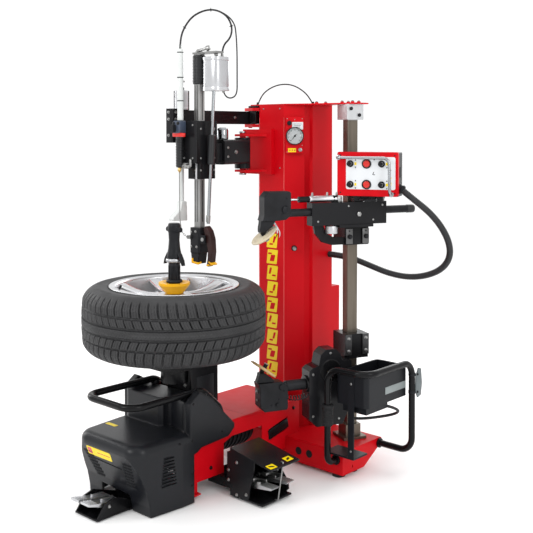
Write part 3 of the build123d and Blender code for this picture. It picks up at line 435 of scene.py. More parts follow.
def lathe(profile, at=(0, 0, 0), axis=(0, 0, 1), sides=96):
    """Closed ring of (radius, height) points turned about an axis, in metres."""
    bm = bmesh.new()
    turn = Matrix.Translation(Vector(at)) @ basis(axis)
    rings = []
    for step in range(sides):
        angle = 2 * pi * step / sides
        rings.append([bm.verts.new(turn @ Vector((r * cos(angle), r * sin(angle), z))) for r, z in profile])
    count = len(profile)
    for step in range(sides):
        here, after = rings[step], rings[(step + 1) % sides]
        for k in range(count):
            nxt = (k + 1) % count
            corners = [here[k], after[k], after[nxt], here[nxt]]
            if profile[k][0] < 1e-6 and profile[nxt][0] < 1e-6:
                continue
            bm.faces.new(corners)
    bmesh.ops.remove_doubles(bm, verts=bm.verts, dist=1e-6)
    bmesh.ops.recalc_face_normals(bm, faces=bm.faces)
    return bm


def add_ring_mesh(bm, ring):
    """Adds another bmesh's geometry and frees it."""
    mesh = bpy.data.meshes.new("part")
    ring.to_mesh(mesh)
    ring.free()
    bm.from_mesh(mesh)
    bpy.data.meshes.remove(mesh)


def spline_points(name, points, resolution=14):
    """Points along a smooth order 3 NURBS line through the given control points."""
    curve = bpy.data.curves.new(name, "CURVE")
    curve.dimensions = "3D"
    curve.resolution_u = resolution
    spline = curve.splines.new("NURBS")
    spline.points.add(len(points) - 1)
    for point, co in zip(spline.points, points):
        point.co = (*co, 1)
    spline.order_u = 3
    spline.use_endpoint_u = True
    obj = bpy.data.objects.new(name, curve)
    bpy.context.scene.collection.objects.link(obj)
    bpy.context.view_layer.update()
    mesh = bpy.data.meshes.new_from_object(obj)
    line = [Vector(v.co) for v in mesh.vertices]
    bpy.data.meshes.remove(mesh)
    bpy.data.objects.remove(obj)
    bpy.data.curves.remove(curve)
    return line


def resample(line, spacing):
    """Evenly spaced points along a line."""
    lengths = [0.0]
    for before, after in zip(line, line[1:]):
        lengths.append(lengths[-1] + (after - before).length)
    count = max(2, round(lengths[-1] / spacing))
    places = np.linspace(0, lengths[-1], count + 1)
    columns = [np.interp(places, lengths, [p[k] for p in line]) for k in range(3)]
    return [Vector(p) for p in zip(*columns)], lengths[-1]


def add_tube(bm, line, radius_at, sides=20):
    """Sweeps a circle, whose radius may change, along a line, with closed ends."""
    side = None
    rings = []
    for index, point in enumerate(line):
        before = line[max(0, index - 1)]
        after = line[min(len(line) - 1, index + 1)]
        along = (after - before).normalized()
        if side is None:
            side = along.orthogonal().normalized()
        side = (side - along * side.dot(along)).normalized()
        other = along.cross(side)
        radius = radius_at(index) if callable(radius_at) else radius_at
        ring = []
        for k in range(sides):
            angle = 2 * pi * k / sides
            ring.append(bm.verts.new(point + side * radius * cos(angle) + other * radius * sin(angle)))
        rings.append(ring)
    for here, after in zip(rings, rings[1:]):
        for k in range(sides):
            nxt = (k + 1) % sides
            bm.faces.new([here[k], here[nxt], after[nxt], after[k]])
    bm.faces.new(list(reversed(rings[0])))
    bm.faces.new(rings[-1])


def rounded(points, radius, steps=6):
    """A polyline with its corners rounded, for bent rods and small pipes."""
    points = [Vector(p) for p in points]
    line = [points[0]]
    for before, corner, after in zip(points, points[1:], points[2:]):
        into, out = (before - corner), (after - corner)
        reach = min(radius, into.length * 0.49, out.length * 0.49)
        start, end = corner + into.normalized() * reach, corner + out.normalized() * reach
        for k in range(steps + 1):
            t = k / steps
            line.append(start * (1 - t) ** 2 + corner * 2 * t * (1 - t) + end * t * t)
    line.append(points[-1])
    return line


def cad_copy(node, name):
    """A welded copy of a CAD node's mesh with flat regions joined up, as a new object."""
    mesh = frame["nodes"][node].data.copy()
    mesh.name = name
    obj = bpy.data.objects.new(name, mesh)
    bpy.context.scene.collection.objects.link(obj)
    bm = bmesh.new()
    bm.from_mesh(mesh)
    bmesh.ops.remove_doubles(bm, verts=bm.verts, dist=2e-5)
    bmesh.ops.dissolve_limit(bm, angle_limit=radians(1.0), verts=bm.verts, edges=bm.edges)
    bm.to_mesh(mesh)
    bm.free()
    return obj


def stands_for(obj, node, material, angle=38):
    """Dresses a piece and lets it stand for a CAD node."""
    obj.data.materials.clear()
    obj.data.materials.append(material)
    shade(obj, angle)
    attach(obj, frame["nodes"][node]["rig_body"])
    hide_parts(node)
    return obj


def moulded_copy(node, material, slot, voxel=3.0, rounds=5):
    """Replaces a CAD node by itself with soft, cast or moulded edges."""
    obj = cad_copy(node, node + "_moulded")
    add_modifier(obj, "TRIANGULATE")
    add_modifier(obj, "REMESH", mode="VOXEL", voxel_size=voxel * MM)
    add_modifier(obj, "SMOOTH", factor=0.5, iterations=rounds)
    settle(obj)
    return stands_for(obj, node, material, 60)


# ------------------------------------------------------------------ stage, camera, light

FLOOR_REACH = 60.0


def make_stage():
    """Plain pale floor, wide enough to reach the horizon."""
    bm = bmesh.new()
    bmesh.ops.create_grid(bm, x_segments=8, y_segments=8, size=FLOOR_REACH)
    mesh = bpy.data.meshes.new("studio_floor")
    bm.to_mesh(mesh)
    bm.free()
    floor = bpy.data.objects.new("studio_floor", mesh)
    bpy.context.scene.collection.objects.link(floor)
    pale = finish("pale_floor", (0.97, 0.97, 0.97), 0.75, vary=0.004, grain=40.0, relief=0.02, shine=0.1)
    floor.data.materials.append(pale)


def make_camera():
    """Camera at the operator's front corner, almost level."""
    camera = bpy.data.objects.new("camera", bpy.data.cameras.new("camera"))
    bpy.context.scene.collection.objects.link(camera)
    camera.location = (2.820, -2.531, 1.474)
    camera.rotation_euler = (radians(90 - 1.88), 0, radians(42.33))
    camera.data.sensor_width = 36.0
    camera.data.lens = 61.99
    camera.data.shift_y = -0.20
    camera.data.clip_start = 0.05
    bpy.context.scene.camera = camera


def area_light(name, at, target, size, power, colour=(1, 1, 1)):
    """A soft rectangular light aimed at a point."""
    data = bpy.data.lights.new(name, "AREA")
    data.shape = "RECTANGLE"
    data.size, data.size_y = size
    data.energy = power
    data.color = colour
    light = bpy.data.objects.new(name, data)
    bpy.context.scene.collection.objects.link(light)
    light.location = at
    light.rotation_euler = (Vector(target) - Vector(at)).to_track_quat("-Z", "Y").to_euler()


def make_light():
    """Five soft lights and a white surround."""
    middle = (0.1, 0.3, 0.8)
    area_light("key", (-0.6, -3.6, 3.0), middle, (1.6, 1.6), 60)
    area_light("side", (4.2, -0.4, 2.4), middle, (1.2, 2.4), 42)
    area_light("left", (-3.8, -0.6, 2.0), middle, (0.8, 2.4), 34)
    area_light("back", (-0.8, 3.8, 2.8), middle, (2.6, 2.0), 36)
    area_light("top", (0.2, 0.2, 4.6), middle, (2.4, 2.4), 30)
    world = bpy.data.worlds.new("studio")
    bpy.context.scene.world = world
    world.use_nodes = True
    background = world.node_tree.nodes["Background"]
    background.inputs["Color"].default_value = (1, 1, 1, 1)
    background.inputs["Strength"].default_value = 1.06
    bpy.context.scene.view_settings.view_transform = "Standard"


make_camera()
make_light()
make_stage()


# ------------------------------------------------------------------ hoses first

def hose_piece(name, node, route, diameter, body, other, rib=0.0, pitch=0.0):
    """A hose along its route, with ribs if it is corrugated; one that runs to a second body is left
    unattached.
    """
    line, length = resample(spline_points(name + "_line", route), pitch / 4 if pitch else diameter * 0.9)
    bm = bmesh.new()
    steps = 4

    def radius_at(index):
        """Hose radius at a step of its line, smaller between ribs."""
        swell = (1.0, 0.55, 0.0, 0.55)[index % steps] if rib else 1.0
        return diameter / 2 - rib * (1 - swell)

    add_tube(bm, line, radius_at, 24)
    obj = piece(name, bm, None, *HOSE_RUBBER, angle=70)
    if node:
        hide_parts(node)
    if other:
        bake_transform(obj)
    else:
        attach(obj, body)
    return line


def mm(*points):
    """Points given in millimetres, as metres."""
    return [tuple(value * MM for value in point) for point in points]


gland = radians(38)
GLAND_WAY = FACE_RIGHT * cos(gland) - UP * sin(gland)
gland_foot = on_face(131, -60, -44)
control_route = [
    tuple(gland_foot + GLAND_WAY * 0.018), tuple(gland_foot + GLAND_WAY * 0.086),
    *mm((722, 798, 1124), (746, 850, 1064), (752, 906, 992), (732, 950, 920), (678, 974, 860),
        (600, 976, 822), (512, 960, 806), (434, 912, 822), (360, 868, 856), (292, 836, 884), (226, 822, 894),
        (161, 822, 894)),
]
hose_piece("corrugated_hose", "control_hose", control_route, 0.029, "upper_carriage", "frame",
           rib=0.0022, pitch=0.0076)

mast_low, mast_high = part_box("hose_mast")
mast = Vector(((mast_low.x + mast_high.x) / 2, (mast_low.y + mast_high.y) / 2, mast_high.z))
tool_route = [
    tuple(mast), tuple(mast + UP * 0.047),
    *mm((-104, 156, 1916), (-72, 182, 1968), (-16, 230, 1994), (32, 270, 1970), (54, 288, 1920),
        (50, 284, 1868), (22, 258, 1832), (22, 258, 1785)),
]
tool_line = hose_piece("tool_air_hose", "tool_hose", tool_route, 0.008, "tool_carriage", "tool_post")


LOOP_ASIDE = Vector((0.64, -0.768, 0))      # square to the plane of the tool hose's loop


def beside(point, aside):
    """A point moved a little across the hose loop's plane, in metres."""
    return tuple(Vector(point) + LOOP_ASIDE * aside)


strand_route = [beside(point, 0.0075) for point in tool_route[:6]] + mm(
    (66, 291, 1930), (69, 297, 1874), (70, 300, 1818), (70, 301, 1766), (70, 301, 1718), (70, 301, 1676),
    (70, 301, 1640), (64, 295, 1617), (48, 281, 1608), (32, 268, 1617), (26, 262, 1638))
hose_piece("second_air_hose", None, strand_route, 0.006, "tool_carriage", "tool_post")
top_route = mm((-130, 646, 1588), (-116, 651, 1630), (-76, 663, 1666), (-22, 680, 1686), (36, 699, 1684),
               (88, 716, 1656), (122, 727, 1620), (137, 732, 1588))
hose_piece("column_top_hose", None, top_route, 0.006, "frame", None)


TIE_ASIDE = 0.0035                          # from the tool hose to the middle of both strands


def make_hose_fittings():
    """Ties round the two tool hose strands, and grommets on the column's top."""
    ties, cuffs = bmesh.new(), bmesh.new()
    for index in (2, 4, 6):
        at = Vector(tool_route[index]) + LOOP_ASIDE * TIE_ASIDE
        along = Vector(tool_route[index + 1]) - Vector(tool_route[index - 1])
        near = min(tool_line, key=lambda point: (point - at).length)
        add_round(ties, near + LOOP_ASIDE * TIE_ASIDE, along, 0.0084, 0.003, 20)
    obj = piece("hose_ties", ties, None, *BLACK_PLASTIC, bevel=0.0006)
    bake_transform(obj)
    for end in (top_route[0], top_route[-1]):
        add_round(cuffs, Vector(end) + UP * 0.007, UP, 0.0068, 0.016, 24, 0.0045)
    piece("column_top_grommets", cuffs, "frame", *BLACK_PLASTIC, bevel=0.0008)


make_hose_fittings()


# ------------------------------------------------------------------ CAD parts with their own surfaces

SLOT_OF = {part["node"]: part["material_slot"] for part in frame["record"]["subparts"]}
OTHER_SURFACE = {"spindle": MATERIALS["tool_steel"], "spindle_bearings": MATERIALS["tool_steel"],
                 "tool_post": MATERIALS["tool_steel"], "tool_claw": OXIDE, "lower_disc": GOLD,
                 "front_cover": COVER}


def dress_cad():
    """Gives every CAD node its surface and smooth shading with sharp edges."""
    for node, obj in frame["nodes"].items():
        obj.data.materials.clear()
        obj.data.materials.append(OTHER_SURFACE.get(node, MATERIALS[SLOT_OF[node]]))
        shade(obj, 52 if node == "front_cover" else 30)


dress_cad()


# ------------------------------------------------------------------ tyre

TREAD_PITCHES = 64
ANGLE_STEPS = TREAD_PITCHES * 20


def soften(points, rounds=3):
    """Corner cutting of an open line of (radius, height) points, ends kept."""
    for _ in range(rounds):
        line = [points[0]]
        for (r0, z0), (r1, z1) in zip(points, points[1:]):
            line.append((r0 * 0.75 + r1 * 0.25, z0 * 0.75 + z1 * 0.25))
            line.append((r0 * 0.25 + r1 * 0.75, z0 * 0.25 + z1 * 0.75))
        line.append(points[-1])
        points = line
    return points


def walled(value, edge, soft):
    """0 outside a groove, 1 inside it, with sloping walls."""
    return np.clip((edge - value) / soft + 0.5, 0, 1)


def tread_depth(turn, across):
    """Depth of a directional tread, 0 to 1, over turns round the tyre and millimetres across it."""
    side = np.abs(across)
    rings = np.maximum(walled(np.abs(side - 21), 4.6, 2.2), walled(np.abs(side - 62), 4.2, 2.2))
    sweep = 0.021 * (1 - np.exp(-side / 46))
    pitch = (turn * TREAD_PITCHES + sweep * TREAD_PITCHES + np.where(across > 0, 0.5, 0.0)) % 1.0
    near = np.abs(pitch - 0.5)
    width = np.where(side > 62, 0.085, 0.060)
    lateral = walled(near, width, 0.05) * np.clip((side - 23) / 3, 0, 1)
    sipe_place = np.abs((pitch * 3) % 1.0 - 0.5)
    sipes = 0.28 * walled(sipe_place, 0.07, 0.08) * (side < 112)
    return np.maximum(np.maximum(rings, lateral), sipes)


def make_tyre():
    """Tyre turned from its section, with the tread cut into it."""
    low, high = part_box("tyre")
    middle = (low.z + high.z) / 2 / MM
    outer = high.x / MM
    top = [(250, 808), (252, 822), (262, 831), (271, 830), (274, 835.5), (284, 836.5), (298, 838), (316, 840),
           (334, 835), (348, 827), (360, 816), (368, 804), (outer - 5, 794)]
    bottom = [(outer - 5, 611), (368, 601), (360, 589), (348, 578), (334, 570), (316, 565), (298, 568),
              (284, 575), (274, 584), (271, 598), (260, 602), (251, 606), (250, 620)]
    tread = [(outer - 5 * abs((z - middle) / 91.5) ** 2.2, z) for z in np.arange(792, 612, -2.4)]
    inside = [(282, 632), (338, 644), (355, middle), (338, 762), (282, 776)]
    profile = soften(top, 2) + tread + soften(bottom, 2) + inside
    radius = np.array([r for r, _ in profile])[:, None]
    height = np.array([z for _, z in profile])[:, None]
    turn = np.linspace(0, 1, ANGLE_STEPS, endpoint=False)[None, :]
    across = height - middle
    skin = np.arange(len(profile))[:, None] < len(profile) - len(inside)
    outside = (radius > 340) & skin
    depth = tread_depth(turn, across)
    fade = np.clip((radius - 344) / 16, 0, 1) * outside
    way_up = np.sign(across)
    cut = 8.5 * depth * fade
    inner_bead = 1.1 * np.exp(-((radius - 303) / 1.8) ** 2)
    outer_bead = 1.1 * np.exp(-((radius - 333) / 1.8) ** 2)
    ridge = (inner_bead + outer_bead) * (radius > 290)
    hatch = 0.45 * (np.sin(2 * pi * turn * ANGLE_STEPS / 6) > 0) * ((radius > 306) & (radius < 326))
    hatch = hatch * ((turn * 8 % 1.0) > 0.45)
    lift = (ridge + hatch) * (outside | (radius < 340)) * skin
    lift = np.where(radius > 340, 0, lift)
    r = (radius - cut) * MM
    z = (height + way_up * (lift - 1.2 * (radius > 280))) * MM
    x = r * np.cos(2 * pi * turn)
    y = r * np.sin(2 * pi * turn)
    points = np.stack([x, y, z], axis=-1).reshape(-1, 3)
    rows, columns = len(profile), ANGLE_STEPS
    index = np.arange(rows * columns).reshape(rows, columns)
    down = np.roll(index, -1, axis=0)
    faces = np.stack([index, np.roll(index, -1, axis=1), np.roll(down, -1, axis=1), down],
                     axis=-1).reshape(-1, 4)
    mesh = bpy.data.meshes.new("tyre_carcass")
    mesh.from_pydata(points.tolist(), [], faces[:, ::-1].tolist())
    mesh.update()
    tyre = piece("tyre_tread", mesh, "spindle", MATERIALS["rubber"], "rubber", angle=50)
    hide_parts("tyre")


make_tyre()


# ------------------------------------------------------------------ rim

def make_rim():
    """Alloy rim: barrel, hub, ten blades in five pairs, near-black discs painted as the shade in its five
    bolt recesses, and valve.
    """
    low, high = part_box("rim")
    flange = high.x / MM
    base, top = low.z / MM, high.z / MM
    seat = flange - 19
    barrel = [(flange, base + 1), (flange - 1, base), (seat - 1, base + 5), (seat - 1, base + 38),
              (224, base + 62), (222, base + 66), (222, base + 102), (225, base + 110),
              (seat - 1, base + 150),
              (seat - 1, top - 7), (seat + 4, top - 5), (flange - 3, top - 4), (flange, top - 2),
              (flange - 2, top),
              (seat + 6, top), (seat - 2, top - 3), (seat - 7, top - 9), (seat - 8, top - 20),
              (seat - 8, base + 156),
              (216, base + 112), (215, base + 58), (seat - 8, base + 36), (seat - 8, base + 2)]
    rim = piece("rim_barrel", lathe([(r * MM, z * MM) for r, z in barrel], sides=144), "spindle", *ALLOY,
                bevel=0.0008, angle=32)
    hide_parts("rim")
    hub = [(33, 733.5), (84, 733.5), (87, 737), (88, 782), (85, 790), (78, 795), (62, 799), (36, 800),
           (33, 797)]
    piece("rim_hub", lathe([(r * MM, z * MM) for r, z in hub]), "spindle", *ALLOY, bevel=0.001)

    spokes, stripes, pocket_shades = bmesh.new(), bmesh.new(), bmesh.new()

    def along_spoke(t, side, turn):
        """A blade at t from hub to barrel: its turn, radius, half width and crest height."""
        r = 66 + t * (seat - 6 - 66)
        swing = turn + side * radians(10.5 + 3.5 * t)
        half = 15 + 17 * t ** 1.5 + 6 * (1 - t) ** 3
        crest = 799 + 27 * t ** 1.7 - 7 * sin(pi * t)
        return Matrix.Rotation(swing, 4, "Z"), r, half, crest

    for pair in range(5):
        turn = 2 * pi * pair / 5
        for side in (-1, 1):
            rings, strip = [], []
            for t in np.linspace(0, 1, 11):
                swing, r, half, crest = along_spoke(t, side, turn)
                foot = crest - 30 + 4 * t
                section = [(-half * 0.55, foot), (-half * 0.95, foot + 12), (-half, crest - 7),
                           (-half * 0.85, crest - 2),
                           (-half * 0.4, crest + 1.4), (half * 0.4, crest + 1.4), (half * 0.85, crest - 2),
                           (half, crest - 7), (half * 0.95, foot + 12), (half * 0.55, foot)]
                rings.append([spokes.verts.new(swing @ Vector((r * MM, y * MM, z * MM))) for y, z in section])
                y, z = side * half * 0.90, crest - 2.6
                strip.append([stripes.verts.new(swing @ Vector((r * MM, (y + a) * MM, (z + b) * MM)))
                              for a, b in ((-1.0, 0.6), (0.0, 0.9), (0.9, -0.4), (0.0, -0.8))])
            for line, solid in ((rings, spokes), (strip, stripes)):
                for here, after in zip(line, line[1:]):
                    for k in range(len(here)):
                        nxt = (k + 1) % len(here)
                        solid.faces.new([here[k], here[nxt], after[nxt], after[k]])
                solid.faces.new(list(reversed(line[0])))
                solid.faces.new(line[-1])
        # Painted shade: a near-black disc in each bolt recess stands for the shade inside it.
        place = Matrix.Rotation(turn, 4, "Z") @ Vector((0.0755, 0, 0.7958))
        add_round(pocket_shades, place, (0, 0, 1), 0.0065, 0.003, 24)
    bmesh.ops.recalc_face_normals(spokes, faces=spokes.faces)
    bmesh.ops.recalc_face_normals(stripes, faces=stripes.faces)
    piece("rim_spokes", spokes, "spindle", *ALLOY, bevel=0.0012, subdivide=1, angle=40)
    piece("rim_pinstripes", stripes, "spindle", *RED_PLASTIC)
    piece("rim_bolt_pocket_shades", pocket_shades, "spindle", *DARK_PRINT_AND_SHADE, bevel=0.0006)
    valve = lathe([(0, 0), (0.006, 0), (0.0055, 0.008), (0.0038, 0.014), (0.0038, 0.034), (0.0048, 0.035),
                   (0.0048, 0.042), (0.003, 0.044), (0, 0.044)], at=(-0.168, -0.168, 0.795),
                   axis=(0.35, 0.35, 1), sides=28)
    piece("rim_valve", valve, "spindle", *PAD_RUBBER)


make_rim()


# ------------------------------------------------------------------ quick lock on the spindle

def make_quick_lock():
    """Rings, ribs and nubs of the quick lock."""
    ring = lathe([(0.0245, 0.929), (0.033, 0.930), (0.0345, 0.934), (0.0345, 0.941), (0.032, 0.9445),
                  (0.0245, 0.9455)], sides=64)
    piece("lock_ring", ring, "quick_lock", *ALUMINIUM, bevel=0.0006)
    collar = lathe([(0.0245, 0.846), (0.034, 0.8465), (0.034, 0.852), (0.030, 0.858), (0.0245, 0.859)],
                   sides=64)
    piece("lock_collar", collar, "quick_lock", *CASTING, bevel=0.0006)
    ribs = bmesh.new()
    for step in range(8):
        turn = Matrix.Rotation(2 * pi * (step + 0.5) / 8, 4, "Z")
        add_block(ribs, turn @ Vector((0.0243, 0, 0.885)), (0.0022, 0.0085, 0.062),
                  about=turn @ Vector((1, 0, 0)))
    piece("lock_sleeve_ribs", ribs, "quick_lock", *BLACK_PLASTIC, bevel=0.0007)
    nubs = bmesh.new()
    for side in (-1, 1):
        add_round(nubs, (side * 0.036, 0, 1.064), RIGHT, 0.0105, 0.010, 32)
        add_round(nubs, (side * 0.0155, -0.0105, 1.083), (0, 1, 0), 0.005, 0.01, 20)
    piece("lock_handle_nubs", nubs, "quick_lock", *CASTING, bevel=0.002, segments=3)


make_quick_lock()
moulded_copy("lock_handle", *CASTING, voxel=1.6, rounds=4)


# ------------------------------------------------------------------ tool arm, control grip and hose mast

def rounded_square(half, power=5.0, count=72):
    """Outline of a square with well rounded corners."""
    outline = []
    for step in range(count):
        angle = 2 * pi * (step + 0.5) / count
        c, s = cos(angle), sin(angle)
        scale = half / (abs(c) ** power + abs(s) ** power) ** (1 / power)
        outline.append((c * scale, s * scale))
    return outline


def add_column(bm, outline, heights, middle, bore=0.0):
    """Raises an outline through some heights as a closed solid, or as a sleeve round a bore."""
    rings = []
    for height in heights:
        rings.append([bm.verts.new(Vector((middle[0] + x, middle[1] + y, height))) for x, y in outline])
    count = len(rings[0])
    for here, after in zip(rings, rings[1:]):
        for k in range(count):
            nxt = (k + 1) % count
            bm.faces.new([here[k], here[nxt], after[nxt], after[k]])
    if not bore:
        bm.faces.new(list(reversed(rings[0])))
        bm.faces.new(rings[-1])
        return
    ends = []
    for height in (heights[0], heights[-1]):
        ends.append([bm.verts.new(Vector((middle[0] + bore * cos(2 * pi * (k + 0.5) / count),
                                          middle[1] + bore * sin(2 * pi * (k + 0.5) / count), height)))
                     for k in range(count)])
    for k in range(count):
        nxt = (k + 1) % count
        bm.faces.new([ends[0][k], ends[0][nxt], rings[0][nxt], rings[0][k]])
        bm.faces.new([rings[-1][k], rings[-1][nxt], ends[1][nxt], ends[1][k]])
        bm.faces.new([ends[1][k], ends[1][nxt], ends[0][nxt], ends[0][k]])


def make_tool_cylinder():
    """Square cylinder on the tool post with its caps and fittings."""
    low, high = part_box("tool_cylinder")
    middle = ((low.x + high.x) / 2, (low.y + high.y) / 2)
    half = (high.x - low.x) / 2
    base, cap = low.z, high.z - 0.015
    body, caps = bmesh.new(), bmesh.new()
    square = rounded_square(half - 0.0005, 3.4)
    tube = [(x * 0.965, y * 0.965) for x, y in square]
    add_column(body, tube, [base + 0.016, cap - 0.014], middle, bore=0.0085)
    obj = piece("tool_cylinder_tube", body, "tool_post", *ALUMINIUM, bevel=0.0008)
    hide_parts("tool_cylinder")
    add_column(caps, square, [cap - 0.015, cap], middle)
    add_column(caps, square, [base, base + 0.0175], middle, bore=0.0085)
    piece("tool_cylinder_caps", caps, "tool_post", *ALLOY, bevel=0.0016, segments=3, angle=50)
    screws = bmesh.new()
    for sx in (-1, 1):
        for sy in (-1, 1):
            add_socket_screw(screws, (middle[0] + sx * 0.032, middle[1] + sy * 0.032, cap), UP, 5)
    add_bolt(screws, (middle[0], middle[1], cap), UP, 10)
    add_round(screws, (middle[0], middle[1], cap + 0.011), UP, 0.008, 0.012, 24)
    fitting = Vector(tool_route[-1])
    add_round(screws, fitting + UP * 0.006, UP, 0.0065, 0.012, 6)
    add_round(screws, fitting + UP * 0.015, UP, 0.0052, 0.008, 24)
    add_round(screws, Vector(strand_route[-1]) + UP * 0.002, UP, 0.0065, 0.014, 6)
    piece("tool_cylinder_fittings", screws, "tool_post", *STEEL, bevel=0.0006)


make_tool_cylinder()


def make_post_top():
    """Bracket, clamp screw and lock knob on the head of the tool post."""
    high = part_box("tool_post")[1]
    post = centre("post_grip")
    bm = bmesh.new()
    add_round(bm, (post.x, post.y, high.z + 0.004), UP, 0.017, 0.008, 40, 0.015)
    add_bolt(bm, (post.x, post.y, high.z + 0.008), UP, 8)
    add_bolt(bm, (post.x + 0.050, post.y + 0.004, high.z), UP, 7)
    add_round(bm, (post.x + 0.034, post.y - 0.014, high.z + 0.010), (1, 0.3, 0.2), 0.006, 0.052, 20)
    add_round(bm, (post.x + 0.062, post.y - 0.006, high.z + 0.016), (1, 0.3, 0.2), 0.011, 0.016, 28)
    piece("post_top_clamp", bm, "tool_post", *STEEL, bevel=0.0015, segments=3)
    # Painted shade: thin near-black strips stand for the guide grooves down the tool post.
    groove_shades = bmesh.new()
    for start, end in ((1.075, 1.255), (1.515, 1.665)):
        for side in (-0.5, 0.5):
            add_block(groove_shades, (post.x + side * 0.013, post.y - 0.0186, (start + end) / 2),
                      (0.0022, 0.0008, end - start))
        add_block(groove_shades, (post.x + 0.0186, post.y, (start + end) / 2), (0.0008, 0.004, end - start))
    piece("post_groove_shade_lines", groove_shades, "tool_post", *DARK_PRINT_AND_SHADE)
    ribs = bmesh.new()
    for step in range(9):
        z = 1.682 + step * 0.0125
        add_ring_mesh(ribs, lathe([(0.0272, z), (0.0289, z + 0.0012), (0.0289, z + 0.0038),
                                   (0.0272, z + 0.005)],
                                  at=(post.x, post.y, 0), sides=48))
    piece("post_grip_ribs", ribs, "tool_post", *GRIP_RUBBER)


make_post_top()


def make_mast_and_grip():
    """Hose mast, control grip and its head, and the safety rod with its chain."""
    low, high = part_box("hose_mast")
    x, y = (low.x + high.x) / 2, (low.y + high.y) / 2
    rings = bmesh.new()
    for z in (1.5985, 1.6985, 1.806):
        add_round(rings, (x, y, z), UP, 0.0142, 0.0042, 40)
    piece("mast_rings", rings, "tool_carriage", *BLACK_PLASTIC, bevel=0.0006)
    cap = lathe([(0.0045, 1.8145), (0.013, 1.8145), (0.0125, 1.819), (0.0075, 1.823), (0.0075, 1.836),
                 (0.006, 1.839), (0.0045, 1.839)], at=(x, y, 0), sides=48)
    piece("mast_cap", cap, "tool_carriage", *WHITE_PLASTIC, bevel=0.0005)

    gy = y - 0.006
    sleeve_profile = [(0.0, 1.312), (0.0125, 1.312), (0.0155, 1.318)]
    for step in range(10):
        z = 1.322 + step * 0.0118
        sleeve_profile += [(0.0158, z), (0.0142, z + 0.0015), (0.0142, z + 0.0035), (0.0158, z + 0.005)]
    sleeve_profile += [(0.0150, 1.446), (0.0, 1.446)]
    sleeve = piece("control_grip_sleeve", lathe(sleeve_profile, at=(x, gy, 0), sides=56), "tool_carriage",
                   *GRIP_RUBBER, bevel=0.0005)
    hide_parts("control_grip")
    head = bmesh.new()
    add_block(head, (x, gy + 0.0005, 1.485), (0.044, 0.043, 0.056))
    add_block(head, (x, gy + 0.004, 1.456), (0.034, 0.034, 0.016))
    piece("control_head", head, "tool_carriage", *BLUE_GREY, bevel=0.007, segments=5)
    bosses = bmesh.new()
    for side in (-1, 1):
        add_round(bosses, (x + side * 0.0135, gy - 0.0205, 1.502), (0, 1, 0), 0.0075, 0.006, 32)
    piece("control_head_bosses", bosses, "tool_carriage", *BLACK_PLASTIC, bevel=0.0015)
    strap = bmesh.new()
    add_block(strap, (x + 0.011, gy - 0.0125, 1.452), (0.070, 0.014, 0.017))
    piece("control_head_strap", strap, "tool_carriage", *RED_PLASTIC, bevel=0.003, segments=3)
    tip = lathe([(0, 1.290), (0.003, 1.290), (0.0045, 1.294), (0.0078, 1.297), (0.0078, 1.306),
                 (0.0062, 1.309), (0.0062, 1.313), (0, 1.313)], at=(x, gy, 0), sides=32)
    piece("control_grip_tip", tip, "tool_carriage", *BRASS, bevel=0.0004)

    rod, links = bmesh.new(), bmesh.new()
    line = rounded([(x, gy, 1.300), (x, gy, 1.10), (x + 0.004, gy + 0.006, 1.040),
                    (x + 0.006, gy + 0.010, 1.032)], 0.02)
    add_tube(rod, line, 0.0022, 12)
    obj = piece("head_safety_rod", rod, None, *STEEL)
    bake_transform(obj)
    start, end = Vector((x + 0.006, gy + 0.010, 1.032)), Vector((x + 0.010, 0.190, 1.003))
    for step in range(6):
        t = (step + 0.5) / 6
        at = start.lerp(end, t) - UP * 0.006 * sin(pi * t)
        turn = Matrix.Translation(at) @ basis(RIGHT if step % 2 else (0.2, 0.5, 1), end - start)
        loop = [turn @ Vector((0.0062 * cos(a), 0.0034 * sin(a), 0)) for a in np.linspace(0, 2 * pi, 17)]
        add_tube(links, loop, 0.0009, 8)
    piece("head_safety_chain", links, "tool_post", *STEEL)


make_mast_and_grip()


def make_carriage_details():
    """Screws, wear strip and latch of the tool carriage."""
    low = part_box("tool_carriage")[0]
    post = centre("post_grip")
    screws, steel, bright = bmesh.new(), bmesh.new(), bmesh.new()
    for x in (-0.106, -0.054):
        for z in (1.352, 1.494):
            add_socket_screw(screws, (x, low.y, z), FRONT, 5)
    for y in (0.186, 0.266):
        for z in (1.300, 1.352, 1.478):
            add_socket_screw(screws, (-0.035, y, z), RIGHT, 5)
    piece("carriage_screws", screws, "tool_carriage", *STEEL, bevel=0.0005)
    add_block(bright, (post.x + 0.027, post.y - 0.0435, 1.300), (0.009, 0.004, 0.076))
    piece("carriage_wear_strip", bright, "tool_carriage", *ALUMINIUM, bevel=0.0008)
    add_block(steel, (-0.098, 0.150, 1.318), (0.034, 0.022, 0.022))
    add_round(steel, (-0.080, 0.148, 1.318), RIGHT, 0.008, 0.034, 28)
    add_round(steel, (-0.062, 0.150, 1.332), (0, 0, 1), 0.006, 0.030, 24)
    add_bolt(steel, (-0.098, 0.139, 1.318), FRONT, 6)
    piece("carriage_latch", steel, "tool_carriage", *STEEL, bevel=0.002, segments=3)


make_carriage_details()


